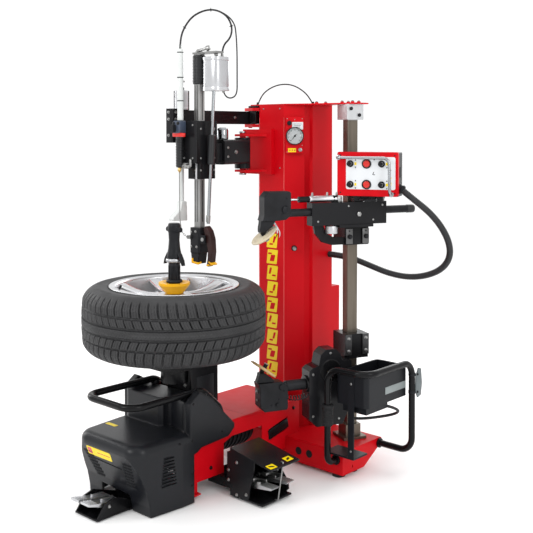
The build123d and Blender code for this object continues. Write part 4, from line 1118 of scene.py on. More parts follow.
def make_hinge_details():
    """Pins, lock dome and bolts of the tool arm's hinge."""
    hinge = joint_place("tool_arm_swing")
    knuckle = lathe([(0, 1.4305), (0.024, 1.4305), (0.026, 1.434), (0.026, 1.470), (0.022, 1.480),
                     (0.012, 1.484), (0, 1.484)], at=(hinge.x, 0.362, 0), sides=56)
    piece("arm_lock_dome", knuckle, "tool_arm", *CHROME, bevel=0.001)
    pins = bmesh.new()
    for z in (1.4630, 1.2730):
        add_round(pins, (hinge.x, hinge.y, z), UP, 0.0175, 0.008, 40)
    piece("hinge_pin_caps", pins, "frame", *CHROME, bevel=0.0015)
    bolts = bmesh.new()
    for z in (1.300, 1.345, 1.400, 1.442):
        add_bolt(bolts, (-0.128, 0.5749, z), FRONT, 7)
    piece("hinge_bracket_bolts", bolts, "frame", *STEEL, bevel=0.0005)
    ends = bmesh.new()
    add_bolt(ends, (hinge.x + 0.046, 0.40, 1.375), RIGHT, 8)
    add_bolt(ends, (hinge.x + 0.046, 0.35, 1.395), RIGHT, 5)
    add_bolt(ends, (hinge.x + 0.046, 0.35, 1.355), RIGHT, 5)
    piece("arm_side_bolts", ends, "tool_arm", *STEEL, bevel=0.0005)


make_hinge_details()


def make_tool_head():
    """Mounting head and claw with their yellow inserts."""
    moulded_copy("tool_head", *CASTING, voxel=1.8, rounds=3)
    moulded_copy("tool_claw", OXIDE, "dark_casting", voxel=1.5, rounds=3)
    post = centre("post_grip")
    inserts, tip = bmesh.new(), bmesh.new()
    add_block(inserts, (post.x, post.y - 0.018, 0.898), (0.040, 0.022, 0.009), (0.1, -0.15, 1))
    add_block(inserts, (post.x - 0.017, post.y - 0.020, 0.906), (0.010, 0.020, 0.020))
    piece("tool_head_insert", inserts, "tool_post", *YELLOW_PLASTIC, bevel=0.002, segments=3)
    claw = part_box("tool_claw")
    add_block(tip, (claw[1].x - 0.008, post.y, claw[0].z + 0.016), (0.024, 0.034, 0.007), (0.55, 0, 1))
    add_block(tip, (claw[1].x - 0.024, post.y, claw[0].z + 0.007), (0.016, 0.034, 0.008), (-0.2, 0, 1))
    piece("tool_claw_insert", tip, "tool_claw", *YELLOW_PLASTIC, bevel=0.002, segments=3)
    bolts = bmesh.new()
    for x, z in ((-0.018, 0.968), (0.016, 0.968), (-0.018, 1.030), (0.010, 1.034)):
        add_bolt(bolts, (post.x + x, post.y - 0.0325, z), FRONT, 5)
    for y in (-0.0345, 0.0345):
        pin = joint_place("claw_tilt")
        add_round(bolts, (pin.x, pin.y + y * 0.82, pin.z), (0, 1, 0), 0.0085, 0.004, 32)
    add_round(bolts, (post.x - 0.031, post.y - 0.006, 0.986), RIGHT, 0.012, 0.012, 6)
    add_round(bolts, (post.x - 0.036, post.y - 0.006, 0.986), RIGHT, 0.008, 0.018, 28)
    add_block(bolts, (post.x - 0.026, post.y - 0.036, 1.008), (0.020, 0.014, 0.016))
    piece("tool_head_bolts", bolts, "tool_post", *STEEL, bevel=0.0007)
    joint = bmesh.new()
    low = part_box("claw_rod")[0]
    foot = Vector((low.x + 0.007, post.y + 0.002, low.z))
    add_round(joint, foot + UP * 0.022, (0.05, 0.012, 1), 0.0095, 0.030, 28)
    piece("claw_rod_socket", joint, "claw_rod", *STEEL, bevel=0.002, segments=3)


make_tool_head()


# ------------------------------------------------------------------ helper press arm

def make_press():
    """Small cylinder, fittings and rod of the helper press."""
    x, y = centre("press_rod").x, 0.200
    body, caps, screws = bmesh.new(), bmesh.new(), bmesh.new()
    square = rounded_square(0.0252, 4.5)
    smaller = [(a * 0.93, b * 0.93) for a, b in square]
    add_column(caps, square, [1.630, 1.646], (x, y), bore=0.0125)
    add_column(caps, square, [1.562, 1.574], (x, y), bore=0.0125)
    add_column(body, [(a * 1.075, b * 1.075) for a, b in smaller], [1.572, 1.632], (x, y), bore=0.0125)
    piece("press_cylinder_tube", body, "press_arm", *ALUMINIUM, angle=50)
    piece("press_cylinder_caps", caps, "press_arm", *ALLOY, bevel=0.0012, segments=3, angle=50)
    add_round(screws, (x, y, 1.662), UP, 0.008, 0.014, 6)
    add_tube(screws, rounded([(x, y, 1.668), (x, y, 1.686), (x + 0.014, y + 0.006, 1.686)], 0.01), 0.0045, 16)
    for z in (1.52, 1.55, 1.45):
        add_bolt(screws, (x + 0.022, 0.145, z), RIGHT, 6)
        add_bolt(screws, (x, 0.125, z), FRONT, 6)
    add_bolt(screws, (x + 0.015, 0.52, 1.53), RIGHT, 6)
    piece("press_fittings", screws, "press_arm", *STEEL, bevel=0.0006)
    moulded_copy("press_rod", *WHITE_PLASTIC, voxel=1.8, rounds=3)


make_press()


# ------------------------------------------------------------------ column, gauge and graphics

def add_print(bm, outline, place, thickness=0.4):
    """Adds a flat printed shape: an outline in millimetres, raised a little off its surface."""
    front = [bm.verts.new(place(x, y, thickness)) for x, y in outline]
    back = [bm.verts.new(place(x, y, -0.2)) for x, y in outline]
    bm.faces.new(front)
    bm.faces.new(list(reversed(back)))
    for k in range(len(front)):
        nxt = (k + 1) % len(front)
        bm.faces.new([front[k], back[k], back[nxt], front[nxt]])


def label(cx, cy, width, height, corner=2.0, lean=0.0):
    """Outline of a rectangle with small rounded corners, leaning if asked."""
    points = []
    for sx, sy, start in ((1, 1, 0), (-1, 1, 90), (-1, -1, 180), (1, -1, 270)):
        for step in range(5):
            angle = radians(start + step * 22.5)
            x = cx + sx * (width / 2 - corner) + corner * cos(angle)
            y = cy + sy * (height / 2 - corner) + corner * sin(angle)
            points.append((x + lean * (y - cy), y))
    return points


def print_piece(name, outlines, place, body, material, slot, thickness=0.4):
    """A piece made of flat printed shapes."""
    bm = bmesh.new()
    for outline in outlines:
        add_print(bm, outline, place, thickness)
    bmesh.ops.recalc_face_normals(bm, faces=bm.faces)
    return piece(name, bm, body, material, slot)


COLUMN_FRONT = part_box("base_beam")[1].y


def on_column(right, up, out):
    """Point on the column's front face, in millimetres."""
    return Vector((right * MM, COLUMN_FRONT - out * MM, up * MM))


BLOCK_HEIGHTS = range(372, 372 + 9 * 74, 74)


def make_column_graphics():
    """Plain blocks, bars and two strokes down the column."""
    blocks = [label(4, z, 62, 66, 4, 0.12) for z in BLOCK_HEIGHTS]
    print_piece("column_blocks", blocks, on_column, "frame", *YELLOW_PRINT)
    bars = []
    for step, z in enumerate(BLOCK_HEIGHTS):
        bars.append(label(4 + (-12, 2, 12)[step % 3], z + (8, -6, 6)[step % 3], (12, 26, 12)[step % 3], 30,
                          3, 0.3))
        bars.append(label(4 + (10, -14, -6)[step % 3], z - (12, -14, 16)[step % 3], 22, 8, 2, 0.3))
        bars.append(label(4, z + 35, 74, 2.4, 1, 0))
    print_piece("column_block_marks", bars, lambda x, y, o: on_column(x, y, o + 0.35), "frame",
                *RED_PAINT)
    bm = bmesh.new()
    for shift, size, phase in ((0, 1.0, 0.0), (22, 0.75, 0.9)):
        path = [(10 + shift + 26 * size * sin(t * 4.4 + phase),
                 960 + 130 * t * size + shift) for t in np.linspace(0, 1, 30)]
        outline = [(x - (1.2 + 2.6 * sin(pi * k / 29)), y) for k, (x, y) in enumerate(path)]
        outline += [(x + (1.2 + 2.6 * sin(pi * k / 29)), y) for k, (x, y) in reversed(list(enumerate(path)))]
        half = len(outline) // 2
        for k in range(half - 1):
            add_print(bm, [outline[k], outline[len(outline) - 1 - k], outline[len(outline) - 2 - k],
                           outline[k + 1]],
                      on_column)
    bmesh.ops.remove_doubles(bm, verts=bm.verts, dist=1e-6)
    bmesh.ops.recalc_face_normals(bm, faces=bm.faces)
    piece("column_swoosh", bm, "frame", *WHITE_PRINT)


make_column_graphics()


def make_column_fittings():
    """Air nipple with a near-black disc painted as the shade in its hole, light red lines painted as
    highlights on the folds, screws and brackets of the column.
    """
    spot = Vector((0.108, 0.6334, 0.935))
    nipple_hole_shade, nipple = bmesh.new(), bmesh.new()
    # Painted shade: a near-black disc stands for the hole round the air nipple.
    add_round(nipple_hole_shade, spot, CORNER_OUT, 0.013, 0.002, 40)
    piece("column_hole_shade", nipple_hole_shade, "frame", *DARK_PRINT_AND_SHADE)
    add_round(nipple, spot + CORNER_OUT * 0.004, CORNER_OUT, 0.009, 0.008, 6)
    add_round(nipple, spot + CORNER_OUT * 0.014, CORNER_OUT, 0.0062, 0.014, 28)
    add_round(nipple, spot + CORNER_OUT * 0.024, CORNER_OUT, 0.0078, 0.008, 28)
    add_round(nipple, spot + CORNER_OUT * 0.031, CORNER_OUT, 0.0048, 0.008, 24)
    piece("column_air_nipple", nipple, "frame", *STEEL, bevel=0.0006)
    # Painted highlight: thin light red lines along the column's two front folds.
    fold_highlights = bmesh.new()
    for x in (-0.0752, 0.0752):
        add_block(fold_highlights, (x, COLUMN_FRONT + 0.0003, 0.90), (0.0012, 0.0012, 1.26))
    piece("column_fold_highlights", fold_highlights, "frame", finish("painted_fold_highlight_red", (0.85, 0.22, 0.20), 0.35), "red_paint")
    rivets = bmesh.new()
    for x, z in ((-0.05, 1.57), (0.05, 1.57), (0.05, 1.30), (0.05, 1.16)):
        add_socket_screw(rivets, (x, COLUMN_FRONT, z), FRONT, 4)
    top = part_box("top_plate")[1].z
    for x, y in ((0.200, 0.680), (0.200, 0.745), (0.345, 0.680), (0.402, 0.680), (0.345, 0.725),
                 (0.402, 0.725)):
        add_bolt(rivets, (x, y, top - 0.0002), UP, 6)
    piece("column_screws", rivets, "frame", *STEEL, bevel=0.0005)
    web = bmesh.new()
    pivot = joint_place("press_arm_swing")
    add_block(web, (pivot.x + 0.052, pivot.y - 0.020, 1.531), (0.034, 0.036, 0.060))
    add_block(web, (pivot.x + 0.044, pivot.y - 0.004, 1.5815), (0.062, 0.048, 0.009))
    piece("press_hinge_block", web, "frame", *BLACK_PAINT, bevel=0.002, segments=3)
    bracket = bmesh.new()
    for side, up in ((-22, 1566), (18, 1538)):
        add_bolt(bracket, POST + ARM_SIDE * 0.0505 + ARM_OUT * side * MM + UP * up * MM, ARM_SIDE, 7)
    piece("post_bracket_bolts", bracket, "frame", *CASTING, bevel=0.0005)


make_column_fittings()


def make_gauge():
    """Pressure gauge: bezel, dial, marks, needle and glass."""
    bezel = lathe([(0.0355, 0.0055), (0.0365, 0.0115), (0.0385, 0.0120), (0.0400, 0.0105), (0.0400, -0.0120),
                   (0.0300, -0.0120), (0.0300, -0.0100), (0.0355, 0.0040)], at=GAUGE_MID, axis=CORNER_OUT,
                   sides=96)
    ring = piece("gauge_bezel", bezel, "frame", *BLACK_PLASTIC, bevel=0.0005)
    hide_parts("pressure_gauge")
    dial = bmesh.new()
    add_round(dial, GAUGE_MID + CORNER_OUT * 0.0046, CORNER_OUT, 0.0358, 0.002, 72)
    piece("gauge_dial", dial, "frame", *DIAL)
    marks = []
    for step in range(33):
        angle = radians(225 - 270 * step / 32)
        long = 7.5 if step % 4 == 0 else 4.0
        wide = 0.9 if step % 4 == 0 else 0.45
        c, s = cos(angle), sin(angle)
        marks.append([(c * 32 - s * wide, s * 32 + c * wide),
                      (c * (32 - long) - s * wide, s * (32 - long) + c * wide),
                      (c * (32 - long) + s * wide, s * (32 - long) - c * wide),
                      (c * 32 + s * wide, s * 32 - c * wide)])
    on_dial = lambda x, y, o: on_corner(x, y, 5.7 + o)
    print_piece("gauge_marks", marks, on_dial, "frame", *DARK_PRINT_AND_SHADE, 0.2)
    angle = radians(232)
    c, s = cos(angle), sin(angle)
    needle = [(-c * 9 - s * 1.6, -s * 9 + c * 1.6), (c * 26 - s * 0.4, s * 26 + c * 0.4),
              (c * 26 + s * 0.4, s * 26 - c * 0.4), (-c * 9 + s * 1.6, -s * 9 - c * 1.6)]
    print_piece("gauge_needle", [needle, label(0, 0, 8, 8, 3.9)], lambda x, y, o: on_corner(x, y, 7.6 + o),
                "frame", *DARK_PRINT_AND_SHADE, 0.7)
    glass = bmesh.new()
    add_round(glass, GAUGE_MID + CORNER_OUT * 0.0108, CORNER_OUT, 0.0366, 0.0014, 72)
    piece("gauge_glass", glass, "frame", *GLASS, bevel=0.0004)


make_gauge()


def make_gauge_box_details():
    """Label, sticker, knob and fittings round the gauge."""
    on_box = lambda x, y, o: on_corner(x, y + 4, o - 4)
    print_piece("gauge_box_label", [label(13, 42, 50, 34, 2)], on_box, "frame", *WHITE_PRINT)
    print_piece("gauge_box_label_lines", [label(13, 50 - 7 * row, 38 - 9 * row, 1.6,
                                                0.7) for row in range(3)],
                lambda x, y, o: on_box(x, y, o + 0.35), "frame", *DARK_PRINT_AND_SHADE, 0.2)
    print_piece("gauge_box_sticker", [label(-12, -68, 36, 18, 1.5)], on_box, "frame", *YELLOW_PRINT)
    print_piece("gauge_box_sticker_bars", [label(-22 + 11 * k, -68, 6, 5, 1) for k in range(3)],
                lambda x, y, o: on_box(x, y, o + 0.35), "frame", *RED_PLASTIC, 0.2)
    knob = lathe([(0, 0), (0.0105, 0), (0.0108, 0.002), (0.0098, 0.004), (0.0098, 0.012), (0.0090, 0.0135),
                  (0, 0.0138)], at=on_box(-24, 54, 0), axis=CORNER_OUT, sides=36)
    piece("gauge_box_knob", knob, "frame", *BLACK_PLASTIC, bevel=0.0006)
    metal = bmesh.new()
    add_round(metal, on_box(25, -66, 2), CORNER_OUT, 0.0095, 0.004, 6)
    add_round(metal, on_box(25, -66, 8), CORNER_OUT, 0.0062, 0.010, 28)
    add_round(metal, on_box(25, -66, 14), CORNER_OUT, 0.0078, 0.005, 28)
    for x, y in ((0, 70), (-34, 74), (34, 74), (-34, 8), (34, -46), (-34, -76)):
        add_socket_screw(metal, on_box(x, y, 0), CORNER_OUT, 2.6)
    piece("gauge_box_fittings", metal, "frame", *STEEL, bevel=0.0005)


make_gauge_box_details()


# ------------------------------------------------------------------ console

LEVER_PLACES = ((-74, 44), (62, 44), (-74, -44), (62, -44))
BUTTON_HEIGHTS = (44, -44)


def make_console():
    """Console face, panel, collars, screws, hose nut and feet."""
    body = "upper_carriage"
    outline = label(0, 0, 262, 186, 7)
    print_piece("console_face", [outline], on_face, body, *RED_PAINT, 2.4)
    rim = bmesh.new()
    for (x0, y0), (x1, y1) in zip(outline, outline[1:] + outline[:1]):
        middle = on_face((x0 + x1) / 2, (y0 + y1) / 2, -9)
        along = on_face(x1, y1, 0) - on_face(x0, y0, 0)
        if along.length > 1e-5:
            add_block(rim, middle, (along.length * 1.03, 0.0016, 0.022), FACE_OUT, along)
    piece("console_face_edge", rim, body, *RED_PAINT)
    raised = lambda x, y, o: on_face(x, y, o + 2.4)
    panel = label(14, 4, 214, 138, 8)
    print_piece("console_panel", [panel], raised, body, *WHITE_PRINT, 0.8)
    on_panel = lambda x, y, o: on_face(x, y, o + 3.1)
    arrows, marks = [], []
    for u, v in LEVER_PLACES:
        arrows.append([(u + 19, v + 13), (u + 26, v + 13), (u + 22.5, v + 20)])
        arrows.append([(u + 19, v - 13), (u + 26, v - 13), (u + 22.5, v - 20)])
        marks.append(label(u + 22.5, v, 9, 12, 1.5))
    marks += [label(100, -40, 8, 14, 1), label(100, -16, 8, 8, 1)]
    print_piece("console_marks_yellow", marks, on_panel, body, *YELLOW_PRINT, 0.25)
    print_piece("console_marks_dark", arrows + [label(26, 4, 3, 12, 1, 0.4), label(30, -2, 8, 3, 1),
                                                label(22, 66, 16, 2, 0.8)],
                on_panel, body, *DARK_PRINT_AND_SHADE, 0.25)
    collars, screws = bmesh.new(), bmesh.new()
    for u, v in LEVER_PLACES:
        add_ring_mesh(collars, lathe([(0.0085, 0), (0.0150, 0), (0.0146, 0.003), (0.0120, 0.0052),
                                      (0.0085, 0.0052)], at=on_face(u, v, 3), axis=FACE_OUT, sides=48))
    for v in BUTTON_HEIGHTS:
        add_ring_mesh(collars, lathe([(0.0158, 0), (0.0205, 0), (0.0200, 0.0045), (0.0172, 0.0060),
                                      (0.0158, 0.0060)], at=on_face(-3, v, 3), axis=FACE_OUT, sides=56))
    piece("console_collars", collars, body, *CASTING, bevel=0.0004)
    for x, y in ((-118, -80), (118, -80), (-118, 80), (118, 80)):
        add_socket_screw(screws, on_face(x, y, 2.4), FACE_OUT, 3.4)
    for x, y in ((100, 18), (30, 62)):
        add_round(screws, on_face(x, y, 3.6), FACE_OUT, 0.003, 0.002, 20)
    piece("console_screws", screws, body, *BLACK_PLASTIC, bevel=0.0004)
    recess_shade, vents = bmesh.new(), bmesh.new()
    # Painted shade: a near-black block stands for the recess in the console's side.
    add_block(recess_shade, on_face(131.2, 8, -38), (0.034, 0.044, 0.0016), FACE_RIGHT, -FACE_OUT)
    piece("console_side_recess_shade", recess_shade, body, *DARK_PRINT_AND_SHADE, bevel=0.0005)
    for step in range(4):
        add_block(vents, on_face(131.4, -70 + step * 6, -26), (0.030, 0.0022, 0.0014), FACE_RIGHT, -FACE_OUT)
    piece("console_side_ribs", vents, body, *BLACK_PLASTIC, bevel=0.0004)
    nut = lathe([(0.0150, 0.004), (0.0205, 0.004), (0.0212, 0.007), (0.0205, 0.013), (0.0178, 0.0165),
                 (0.0152, 0.0165)],
                at=gland_foot, axis=GLAND_WAY, sides=48)
    piece("console_hose_nut", nut, body, *BLACK_PLASTIC, bevel=0.0006)
    feet = bmesh.new()
    for u, w in ((-46, -20), (20, -20), (52, -24)):
        add_block(feet, on_face(u, -104, w), (0.026, 0.022, 0.030), FACE_OUT, FACE_RIGHT)
        add_bolt(feet, on_face(u, -104, w + 15), FACE_OUT, 5)
    piece("console_feet", feet, body, *BLACK_PAINT, bevel=0.0015)
    ends = bmesh.new()
    for u, v in ((-126, 70), (104, -84)):
        add_round(ends, on_face(u, v, 4.5), FACE_OUT, 0.011, 0.004, 40)
    piece("console_handle_feet", ends, body, *CHROME, bevel=0.001)


make_console()


def make_levers():
    """Lever knobs and buttons on the console."""
    for number, (u, v) in enumerate(LEVER_PLACES, start=1):
        node = f"control_lever_{number}"
        profile = [(0, -0.012), (0.0042, -0.012), (0.0042, 0.0125), (0.0075, 0.0135), (0.0080, 0.016),
                   (0.0072, 0.020),
                   (0.0078, 0.026), (0.0092, 0.031), (0.0090, 0.0335), (0.0070, 0.0345), (0, 0.0345)]
        knob = piece(f"lever_{number}_knob", lathe(profile, at=on_face(u, v, 0), axis=FACE_OUT, sides=40),
                     node, *BLACK_PLASTIC, bevel=0.0005)
        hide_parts(node)
        ribs = bmesh.new()
        for step in range(10):
            angle = 2 * pi * step / 10
            spoke = FACE_RIGHT * cos(angle) + UP * sin(angle)
            add_block(ribs, on_face(u, v, 28.5) + spoke * 0.0086, (0.0014, 0.0020, 0.0085), FACE_OUT, spoke)
        piece(f"lever_{number}_ribs", ribs, node, *BLACK_PLASTIC, bevel=0.0004)
    for number, v in enumerate(BUTTON_HEIGHTS, start=1):
        node = f"console_button_{number}"
        profile = [(0, -0.008), (0.0148, -0.008), (0.0148, 0.0066), (0.0138, 0.0082), (0.0100, 0.0088),
                   (0.0060, 0.0078), (0, 0.0074)]
        cap = piece(f"button_{number}_cap", lathe(profile, at=on_face(-3, v, 0), axis=FACE_OUT, sides=56),
                    node, *RED_PLASTIC, bevel=0.0004)
        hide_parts(node)


make_levers()


# ------------------------------------------------------------------ bead breakers

def make_upper_breaker():
    """Plates, small cylinder, screws and cap of the upper bead breaker."""
    plates, bolts = bmesh.new(), bmesh.new()
    for out in (-40, 40):
        add_block(plates, by_arm(70.7, out, 1013), (0.0016, 0.032, 0.066), UP, ARM_SIDE)
        add_bolt(bolts, by_arm(80, out, 1012), ARM_SIDE, 7)
        add_socket_screw(bolts, by_arm(71.4, out, 1036), ARM_SIDE, 4)
    piece("upper_carriage_plates", plates, "upper_carriage",
          finish("grey_steel_plate", (0.11, 0.11, 0.11), 0.4, 0.6), "dark_casting", bevel=0.0006)
    piece("upper_carriage_bolts", bolts, "upper_carriage", *CASTING, bevel=0.0005)
    roller = lathe([(0.009, 1.0300), (0.0262, 1.0300), (0.0274, 1.0315), (0.0274, 1.0625), (0.0262, 1.0640),
                    (0.009, 1.0640)], at=by_arm(72, -128, 0), sides=64)
    piece("upper_roller", roller, "upper_carriage", *ALUMINIUM, bevel=0.0005)

    cylinder, steel, dark = bmesh.new(), bmesh.new(), bmesh.new()
    add_ring_mesh(cylinder, lathe([(0, -0.004), (0.0132, -0.004), (0.0142, 0.001), (0.0142, 0.010),
                                   (0.0133, 0.012),
                                   (0.0133, 0.113), (0.0142, 0.115), (0.0142, 0.127), (0.0125, 0.130),
                                   (0, 0.130)],
                                  at=by_arm(75, -232, 1180), axis=ARM_OUT, sides=48))
    piece("upper_small_cylinder", cylinder, "upper_carriage", *ALUMINIUM, bevel=0.0005)
    for out in (-220, -150, -104):
        add_round(steel, by_arm(75, out, 1196), UP, 0.0055, 0.012, 6)
        add_round(steel, by_arm(75, out, 1202), UP, 0.004, 0.012, 20)
    add_block(steel, by_arm(75, -94, 1176), (0.020, 0.026, 0.026), UP, ARM_OUT)
    piece("upper_cylinder_fittings", steel, "upper_carriage", *STEEL, bevel=0.0006)
    rod = bmesh.new()
    add_round(rod, by_arm(75, -284, 1180), ARM_OUT, 0.0045, 0.112, 24)
    add_round(rod, by_arm(75, -336, 1180), ARM_OUT, 0.009, 0.012, 6)
    piece("upper_cylinder_rod", rod, "upper_bar", *CHROME, bevel=0.0004)
    for out, up in ((-205, 1086), (-60, 1148), (60, 1086), (105, 1148)):
        add_socket_screw(dark, by_arm(101, out, up), ARM_SIDE, 5)
    add_round(dark, by_arm(103, -10, 1112), ARM_SIDE, 0.011, 0.006, 6)
    piece("upper_box_screws", dark, "upper_carriage", *STEEL, bevel=0.0005)
    cap = lathe([(0, 0), (0.0175, 0), (0.0182, 0.002), (0.0182, 0.030), (0.0165, 0.036), (0.0105, 0.0395),
                 (0, 0.0400)],
                at=by_arm(75, 240, 1125), axis=ARM_OUT, sides=48)
    piece("upper_bar_cap", cap, "upper_bar", *GRIP_RUBBER, bevel=0.0006)
    sensors = bmesh.new()
    for out, up in ((-352, 1190), (-352, 1160), (-372, 1124)):
        add_socket_screw(sensors, by_arm(106, out, up), ARM_SIDE, 5)
    add_round(sensors, by_arm(108, -360, 1142), ARM_SIDE, 0.014, 0.010, 36)
    piece("upper_head_fittings", sensors, "upper_bar", *BLACK_PLASTIC, bevel=0.0012,
          segments=3)


make_upper_breaker()
moulded_copy("upper_bar", *CASTING, voxel=2.2, rounds=4)
moulded_copy("lower_bar", *CASTING, voxel=2.2, rounds=4)


def make_discs():
    """Turned bead breaker discs with ribs and axle nuts."""
    for name, joint, material in (("upper_disc", "upper_disc_spin", MATERIALS["cream_plastic"]),
                                  ("lower_disc", "lower_disc_spin", GOLD)):
        axis, place = joint_axis(joint), joint_place(joint)
        profile = [(0.0096, -0.0060), (0.0220, -0.0060), (0.0240, -0.0052), (0.0520, -0.0042),
                   (0.0560, -0.0036),
                   (0.0616, 0.0008), (0.0620, 0.0022), (0.0600, 0.0050), (0.0560, 0.0052), (0.0500, 0.0042),
                   (0.0320, 0.0050), (0.0290, 0.0059), (0.0096, 0.0059)]
        disc = piece(name + "_turned", lathe(profile, at=place, axis=axis, sides=96), name, material,
                     "cream_plastic", bevel=0.0006, angle=30)
        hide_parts(name)
        ribs = bmesh.new()
        for step in range(12):
            turn = Matrix.Translation(place) @ basis(axis) @ Matrix.Rotation(2 * pi * step / 12, 4, "Z")
            add_block(ribs, turn @ Vector((0.041, 0, 0.0052)), (0.018, 0.0016, 0.0016), axis,
                      turn.to_3x3() @ Vector((1, 0, 0)))
        piece(name + "_ribs", ribs, name, material, "cream_plastic", bevel=0.0004)
        nut = bmesh.new()
        body = name.replace("disc", "bar")
        add_round(nut, place + axis * 0.0235, axis, 0.013, 0.003, 32)
        add_round(nut, place - axis * 0.0235, axis, 0.0105, 0.004, 6)
        piece(name + "_axle_nut", nut, body, *STEEL, bevel=0.0006)


make_discs()


def make_lower_breaker():
    """Plates, bosses and bolts of the lower bead breaker."""
    bolts, plates, cover = bmesh.new(), bmesh.new(), bmesh.new()
    for out in (-42, 42):
        add_block(plates, by_arm(70.7, out, 540), (0.0016, 0.031, 0.088), UP, ARM_SIDE)
        for up in (512, 566):
            add_bolt(bolts, by_arm(71.4, out, up), ARM_SIDE, 7)
    for out, up in ((-232, 440), (-232, 262), (-78, 440), (-110, 240), (-150, 524)):
        add_socket_screw(bolts, by_arm(112, out, up), ARM_SIDE, 6)
    add_round(cover, by_arm(113, -150, 450), ARM_SIDE, 0.050, 0.004, 72, 0.046)
    add_round(cover, by_arm(75, -252, 395), ARM_OUT, 0.036, 0.010, 56)
    piece("lower_carriage_plates", plates, "lower_carriage",
          finish("dark_steel_plate", (0.05, 0.05, 0.052), 0.4, 0.5), "dark_casting", bevel=0.0006)
    piece("lower_carriage_bolts", bolts, "lower_carriage", *STEEL, bevel=0.0005)
    piece("lower_carriage_bosses", cover, "lower_carriage", *BLACK_PAINT, bevel=0.0015,
          segments=3)
    head = bmesh.new()
    for out, up in ((-362, 420), (-362, 384), (-386, 352), (-420, 330)):
        add_socket_screw(head, by_arm(106, out, up), ARM_SIDE, 5)
    add_round(head, by_arm(108, -372, 402), ARM_SIDE, 0.013, 0.008, 36)
    add_round(head, by_arm(108, -392, 328), ARM_SIDE, 0.010, 0.008, 36)
    piece("lower_head_fittings", head, "lower_bar", *BLACK_PLASTIC, bevel=0.001, segments=3)
    steel = bmesh.new()
    add_bolt(steel, by_arm(75, -472, 385), -ARM_OUT, 7)
    add_bolt(steel, by_arm(75, -472, 350), -ARM_OUT, 5)
    piece("lower_head_bolts", steel, "lower_bar", *STEEL, bevel=0.0005)


make_lower_breaker()


def make_coil():
    """Coiled air line between the lower arm's head and its housing."""
    turns, start, end = 7, -344, -258
    line = []
    for step in range(turns * 16 + 1):
        t = step / (turns * 16)
        angle = 2 * pi * turns * t
        centre_line = by_arm(98 + 9 * cos(angle), start + (end - start) * t,
                             352 - 6 * sin(pi * t) + 9 * sin(angle))
        line.append(centre_line)
    line = [by_arm(100, -352, 360), by_arm(106, -348, 356)] + line[3:-3] + [by_arm(106, -254, 356),
                                                                            by_arm(100, -249, 360)]
    points = [Vector(p) for p in line]
    smooth, length = resample(points, 0.0022)
    bm = bmesh.new()
    add_tube(bm, smooth, 0.0026, 12)
    obj = piece("lower_air_coil", bm, None, *HOSE_RUBBER, angle=70)
    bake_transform(obj)


make_coil()


# ------------------------------------------------------------------ front cover, handle and pillar

def make_cover_details():
    """Labels, louvre lips, bead line and screws of the front cover."""
    low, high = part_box("front_cover")
    front, right = low.y, high.x

    def on_front(x, z, out):
        """Point on the cover's front, which leans back under its top edge."""
        lean = max(0.0, 240 - z) * 0.44 - max(0.0, 168 - z) * 0.03
        return Vector((x * MM, front + (lean - out) * MM, z * MM))

    def on_side(y, z, out):
        """Point on the cover's right side, which narrows towards the front."""
        return Vector((right + (out - max(0.0, -140 - y) * 0.1018) * MM, y * MM, z * MM))

    print_piece("cover_label", [label(-45, 213, 150, 38, 6, 0.1)], on_front, "frame", *YELLOW_PRINT, 0.6)
    print_piece("cover_label_mark", [label(-102, 213, 26, 27, 4, 0.12), label(-18, 213, 78, 3, 1, 0.1)],
                lambda x, z, o: on_front(x, z, o + 0.5), "frame", *RED_PLASTIC, 0.3)
    print_piece("cover_top_label", [label(-122, -232, 62, 20, 3)], lambda x, y,
                o: Vector((x * MM, y * MM, 0.281 + o * MM)), "frame", *YELLOW_PRINT, 0.4)
    louvres = bmesh.new()
    for side in (-1, 1):
        for row in range(8):
            add_block(louvres, on_front(side * (92 + row * 4), 110 + row * 14, 0.2), (0.056, 0.0030, 0.0024),
                      (0, -0.4, 1))
    for row in range(9):
        add_block(louvres, on_side(-205, 112 + row * 13, 0.2), (0.0030, 0.074 - 0.003 * row, 0.0022))
    piece("cover_louvre_lips", louvres, "frame", *BLACK_PLASTIC, bevel=0.0009, segments=3)
    bead = bmesh.new()
    add_tube(bead, [on_front(x, 176 - 0.04 * x, 0.2) for x in range(-120, 80, 10)], 0.0022, 10)
    piece("cover_bead_line", bead, "frame", COVER, "black_plastic")
    screws = bmesh.new()
    for y, z in ((-155, 256), (-90, 252), (75, 251), (-90, 120), (-92, 75), (-84, 396)):
        add_socket_screw(screws, on_side(y, z, 0), RIGHT, 5)
    piece("cover_screws", screws, "frame", *BLACK_PAINT, bevel=0.0006)
    sockets = bmesh.new()
    for side in (-1, 1):
        add_round(sockets, (side * 0.142, 0.020, 0.400), (0, 0.2, 1), 0.020, 0.020, 40)
    piece("handle_sockets", sockets, "frame", *BLACK_PLASTIC, bevel=0.002, segments=3)


make_cover_details()


def make_pillar_details():
    """Bolts and side plate of the pillar under the wheel."""
    bolts = bmesh.new()
    for x in (-0.058, 0.058):
        for y in (-0.060, 0.165):
            add_bolt(bolts, (x, y, 0.520), UP, 7)
    for z in (0.31, 0.42):
        for x in (-0.045, 0.045):
            add_bolt(bolts, (x, 0.018, z), FRONT, 7)
    piece("pillar_bolts", bolts, "frame", *STEEL, bevel=0.0005)
    plate = bmesh.new()
    add_block(plate, (0.0725, 0.105, 0.37), (0.0015, 0.10, 0.16))
    piece("pillar_cover", plate, "frame", *BLACK_PLASTIC, bevel=0.0006)


make_pillar_details()


